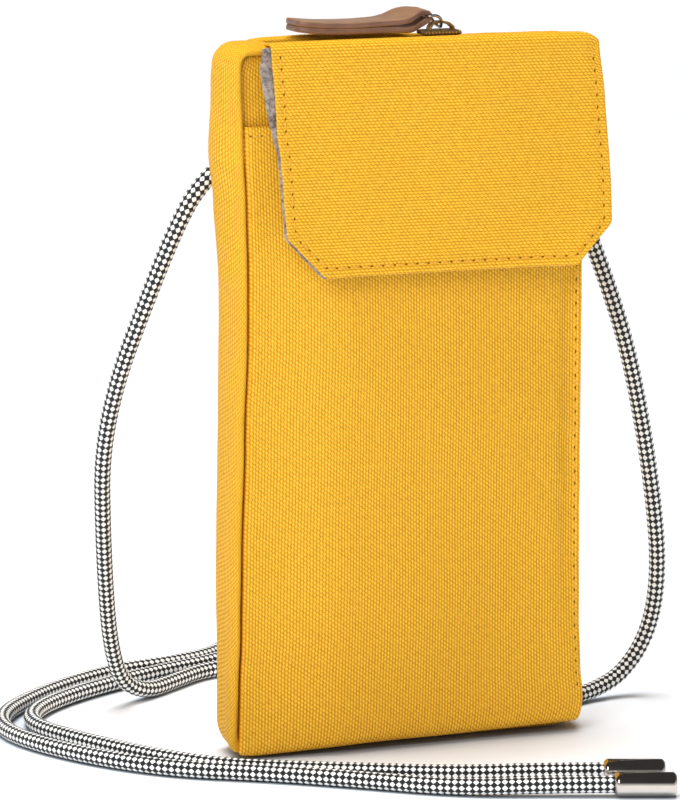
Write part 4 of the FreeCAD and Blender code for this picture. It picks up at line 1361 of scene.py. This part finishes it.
# Down the sleeve in millimetres: height and depth, over the cord
TUNNEL_PROFILE = (
    (171.9, 10.5), (170.5, 10.75), (168.8, 10.8), (167.2, 11.0), (166.3, 11.9), (166.0, 13.2), (165.3, 14.6),
    (164.3, 15.7), (163.0, 16.1), (161.7, 15.7), (160.7, 14.6), (160.0, 13.2), (159.7, 11.9), (158.8, 11.0),
    (157.2, 10.8), (155.5, 10.75), (154.1, 10.5),
)
TUNNEL_ROW_SHARES = (0.14, 0.86)
TUNNEL_T_SHARE = 0.5
TUNNEL_RIPPLE = (12 * MM, 0.3 * MM)
TUNNEL_FLAT_L = 26 * MM
TUNNEL_COLUMNS = 70
CORD_ROUND = 40
CORD_STEP_SHARE = 0.2
BRAID_RELIEF_SHARE = 0.1
TUBE_MERGE = 0.005 * MM


def tunnel_place(u, v):
    """The canvas sleeve sewn across the back."""
    x = mix(TUNNEL_LOW.x, TUNNEL_HIGH.x, u)
    z, y = along_line(TUNNEL_PROFILE, v) * MM
    return Vector((x, y + ripple(x, z, *TUNNEL_RIPPLE), z)), (x, v * TUNNEL_FLAT_L)


def cord_line(route):
    """Points along the smooth line that a route's points control."""
    curve = bpy.data.curves.new("cord_line", "CURVE")
    curve.dimensions = "3D"
    spline = curve.splines.new("NURBS")
    spline.points.add(len(route) - 1)
    for point, place in zip(spline.points, route):
        point.co = (*(Vector(place) * MM), 1.0)
    spline.order_u = 3
    spline.use_endpoint_u = True
    spline.resolution_u = 48
    carrier = bpy.data.objects.new("cord_line", curve)
    bpy.context.collection.objects.link(carrier)
    mesh = bpy.data.meshes.new_from_object(carrier)
    line = [v.co.copy() for v in mesh.vertices]
    bpy.data.objects.remove(carrier)
    bpy.data.curves.remove(curve)
    bpy.data.meshes.remove(mesh)
    return line


def even_steps(line, step):
    """The same line as points an even step apart, and its length."""
    walked = [0.0]
    for a, b in zip(line, line[1:]):
        walked.append(walked[-1] + (b - a).length)
    count = round(walked[-1] / step)
    out = []
    at = 0
    for i in range(count + 1):
        target = walked[-1] * i / count
        while at < len(line) - 2 and walked[at + 1] < target:
            at += 1
        out.append(line[at].lerp(line[at + 1], (target - walked[at]) / (walked[at + 1] - walked[at])))
    return out, walked[-1]


def tube(centres, sides, radius):
    """A tube along even points; radius(share round, distance along) gives its swell at each place."""
    ways = [(centres[min(i + 1, len(centres) - 1)] - centres[max(i - 1, 0)]).normalized()
            for i in range(len(centres))]
    across = [ways[0].orthogonal().normalized()]
    for way in ways[1:]:
        across.append((across[-1] - way * way.dot(across[-1])).normalized())
    step = (centres[1] - centres[0]).length

    def tube_place(u, v):
        at = round(v * (len(centres) - 1))
        turn = 2 * math.pi * u
        out = across[at] * math.cos(turn) + ways[at].cross(across[at]) * math.sin(turn)
        return centres[at] + out * radius(u, at * step), (u, at * step)

    bm = cloth(sides, len(centres) - 1, tube_place)
    bmesh.ops.remove_doubles(bm, verts=bm.verts, dist=TUBE_MERGE)
    return bm


def braid(name, line, nodes):
    """A round braid along a line: diamonds of yarn that stand out round the cord."""
    size = sizes()
    centres, _ = even_steps(line, size.braid_pitch * CORD_STEP_SHARE)

    def swell(share, along):
        pairs = math.cos(2 * math.pi * share * size.braid_pairs)
        diamonds = math.cos(2 * math.pi * along / size.braid_pitch)
        return size.cord_d / 2 * (1 - BRAID_RELIEF_SHARE * (1 - abs(pairs + diamonds) / 2))

    made = piece(name, tube(centres, CORD_ROUND, swell), (braided_cord(),), "pouch", nodes)
    return made, centres


class POUCH_OT_cords(Operator):
    """Braids the cord through its sleeve on the back and down both sides to its end caps"""
    bl_idname = "pouch.cords"
    bl_label = "Cord"

    def execute(self, context):
        size = sizes()
        bm = cloth(TUNNEL_COLUMNS, len(TUNNEL_PROFILE) - 1, tunnel_place)
        sleeve = piece("cord_sleeve", bm, (woven_canvas(),), "pouch", ("cord_tunnel",))
        thicken(sleeve, size.cloth_t * TUNNEL_T_SHARE)
        stitches("sleeve_stitches", "pouch",
                 [(tunnel_place, [(end, row) for end in ROW_ENDS]) for row in TUNNEL_ROW_SHARES])
        middle = (HELD_LOW + HELD_HIGH) / 2
        held = [Vector((x, middle.y, middle.z)) for x in (HELD_LOW.x, 0.0, HELD_HIGH.x)]
        braid("held_cord", held, ("cord_in_tunnel",))
        for side, route, mouth, total, cap in (
                ("left", LEFT_ROUTE, REAR_MOUTH, LEFT_CORD_L, "rear_cap"),
                ("right", RIGHT_ROUTE, FRONT_MOUTH, RIGHT_CORD_L, "front_cap")):
            lead = (mouth - CAP_WAY * CAP_LEAD, mouth + CAP_WAY * CAP_BORE)
            made, centres = braid(side + "_cord", cord_line((*route, *lead)), ("cord_" + side,))
            end_cap = turned_cap(cap, mouth)
        return {"FINISHED"}


# Half section of an end cap, shares of its length and radius: bore, mouth, chamfer, barrel, chamfer, end
CAP_SECTION_SHARES = (
    (0.55, 0.0), (0.55, 0.735), (0.02, 0.735), (0.004, 0.745), (0.0, 0.77), (0.008, 0.83), (0.042, 0.97),
    (0.054, 0.995), (0.064, 1.0), (0.936, 1.0), (0.946, 0.995), (0.958, 0.97), (0.992, 0.83),
    (1.0, 0.77), (1.0, 0.0),
)
CAP_STEPS = 64
CAP_MERGE = 0.01 * MM
CAP_SHARP = math.radians(28)


def turned_cap(name, mouth):
    """A polished end cap with chamfered ends, turned about its own axis."""
    size = sizes()
    radius = size.cap_d / 2
    bm = bmesh.new()
    ring = [bm.verts.new((along * size.cap_l, out * radius, 0.0)) for along, out in CAP_SECTION_SHARES]
    edges = [bm.edges.new(pair) for pair in zip(ring, ring[1:])]
    bmesh.ops.spin(bm, geom=ring + edges, cent=(0, 0, 0), axis=(1, 0, 0), angle=2 * math.pi, steps=CAP_STEPS,
                   use_merge=True)
    bmesh.ops.remove_doubles(bm, verts=bm.verts, dist=CAP_MERGE)
    bmesh.ops.recalc_face_normals(bm, faces=bm.faces)
    heading = Vector((1, 0, 0)).rotation_difference(CAP_WAY).to_matrix()
    bmesh.ops.rotate(bm, verts=bm.verts, cent=(0, 0, 0), matrix=heading)
    bmesh.ops.translate(bm, verts=bm.verts, vec=mouth * MM)
    node_name = {"rear_cap": "end_cap_rear", "front_cap": "end_cap_front"}[name]
    made = piece(name, bm, (polished_nickel(),), "pouch", (node_name,))
    made.data.set_sharp_from_angle(angle=CAP_SHARP)
    return made


# The stage: floor, light and the photograph's camera

FLOOR_HALF = 6.0
TOP_LIGHT_FROM = Vector((-0.05, 0.1, 1.0))
TOP_LIGHT_STRENGTH = 3.25
TOP_LIGHT_ANGLE = math.radians(40)
KEY_AT = Vector((-0.55, -0.58, 0.58))
KEY_TOWARDS = Vector((-0.01, 0.0, 0.12))
KEY_SIZE = 0.45
KEY_POWER = 4.7
# The surroundings' brightness by height of the direction, from just below the horizon to overhead
SKY_FROM, SKY_TO = -0.1, 0.6
SKY_STOPS = ((0.0, 0.75), (0.35, 0.75), (0.7, 0.07), (1.0, 0.05))


class POUCH_OT_stage(Operator):
    """Sets the pale floor, the soft light and the camera"""
    bl_idname = "pouch.stage"
    bl_label = "Stage"

    def execute(self, context):
        scene = context.scene
        bm = bmesh.new()
        bmesh.ops.create_grid(bm, x_segments=4, y_segments=4, size=FLOOR_HALF)
        mesh = bpy.data.meshes.new("studio_floor")
        bm.to_mesh(mesh)
        bm.free()
        mesh.materials.append(studio_floor())
        floor = bpy.data.objects.new("studio_floor", mesh)
        scene.collection.objects.link(floor)
        sun = bpy.data.lights.new("top_light", "SUN")
        sun.energy = TOP_LIGHT_STRENGTH
        sun.angle = TOP_LIGHT_ANGLE
        overhead = bpy.data.objects.new("top_light", sun)
        overhead.rotation_euler = TOP_LIGHT_FROM.to_track_quat("Z", "Y").to_euler()
        overhead.visible_glossy = False
        scene.collection.objects.link(overhead)
        panel = bpy.data.lights.new("key_light", "AREA")
        panel.energy = KEY_POWER
        panel.size = KEY_SIZE
        key = bpy.data.objects.new("key_light", panel)
        key.location = KEY_AT
        key.rotation_euler = (KEY_AT - KEY_TOWARDS).to_track_quat("Z", "Y").to_euler()
        scene.collection.objects.link(key)
        world = bpy.data.worlds.new("studio_sky")
        world.use_nodes = True
        tree = world.node_tree
        up = node(tree, "SeparateXYZ", {0: node(tree, "TexCoord").outputs["Generated"]})
        share = node(tree, "MapRange", {"Value": up.outputs[2], "From Min": SKY_FROM, "From Max": SKY_TO})
        sky = node(tree, "ValToRGB", {0: share}, stops=[(at, (light,) * 3) for at, light in SKY_STOPS])
        tree.links.new(sky.outputs[0], tree.nodes["Background"].inputs["Color"])
        scene.world = world
        scene.view_settings.view_transform = "Standard"
        lens = bpy.data.cameras.new("photo_camera")
        lens.lens = CAMERA_LENS
        lens.sensor_width = CAMERA_SENSOR
        camera = bpy.data.objects.new("photo_camera", lens)
        camera.location = CAMERA_AT
        camera.rotation_euler = (CAMERA_TARGET - CAMERA_AT).to_track_quat("-Z", "Y").to_euler()
        scene.collection.objects.link(camera)
        scene.camera = camera
        return {"FINISHED"}


class POUCH_PT_panel(Panel):
    """Lists the pouch's pieces"""
    bl_idname = "POUCH_PT_panel"
    bl_label = "Phone pouch"
    bl_space_type = "VIEW_3D"
    bl_region_type = "UI"
    bl_category = "Pouch"

    def draw(self, context):
        for operator in OPERATORS:
            self.layout.operator(operator.bl_idname)
        for group in (context.scene.pouch_sizes, context.scene.pouch_colours):
            for key in group.bl_rna.properties.keys():
                if key not in ("rna_type", "name"):
                    self.layout.prop(group, key)


OPERATORS = (
    POUCH_OT_cords, POUCH_OT_side_band, POUCH_OT_walls, POUCH_OT_pocket, POUCH_OT_lining, POUCH_OT_zip,
    POUCH_OT_slider, POUCH_OT_pull, POUCH_OT_flap, POUCH_OT_stage,
)
CLASSES = (PouchSizes, PouchColours, *OPERATORS, POUCH_PT_panel)


def register():
    """Registers the classes and the scene's settings."""
    for made in CLASSES:
        bpy.utils.register_class(made)
    bpy.types.Scene.pouch_sizes = PointerProperty(type=PouchSizes)
    bpy.types.Scene.pouch_colours = PointerProperty(type=PouchColours)


def unregister():
    """Takes the settings and the classes away again."""
    del bpy.types.Scene.pouch_sizes
    del bpy.types.Scene.pouch_colours
    for made in reversed(CLASSES):
        bpy.utils.unregister_class(made)


def main():
    """Makes every piece in order."""
    register()
    for operator in OPERATORS:
        group, name = operator.bl_idname.split(".")
        getattr(getattr(bpy.ops, group), name)()


if __name__ == "__main__":
    main()
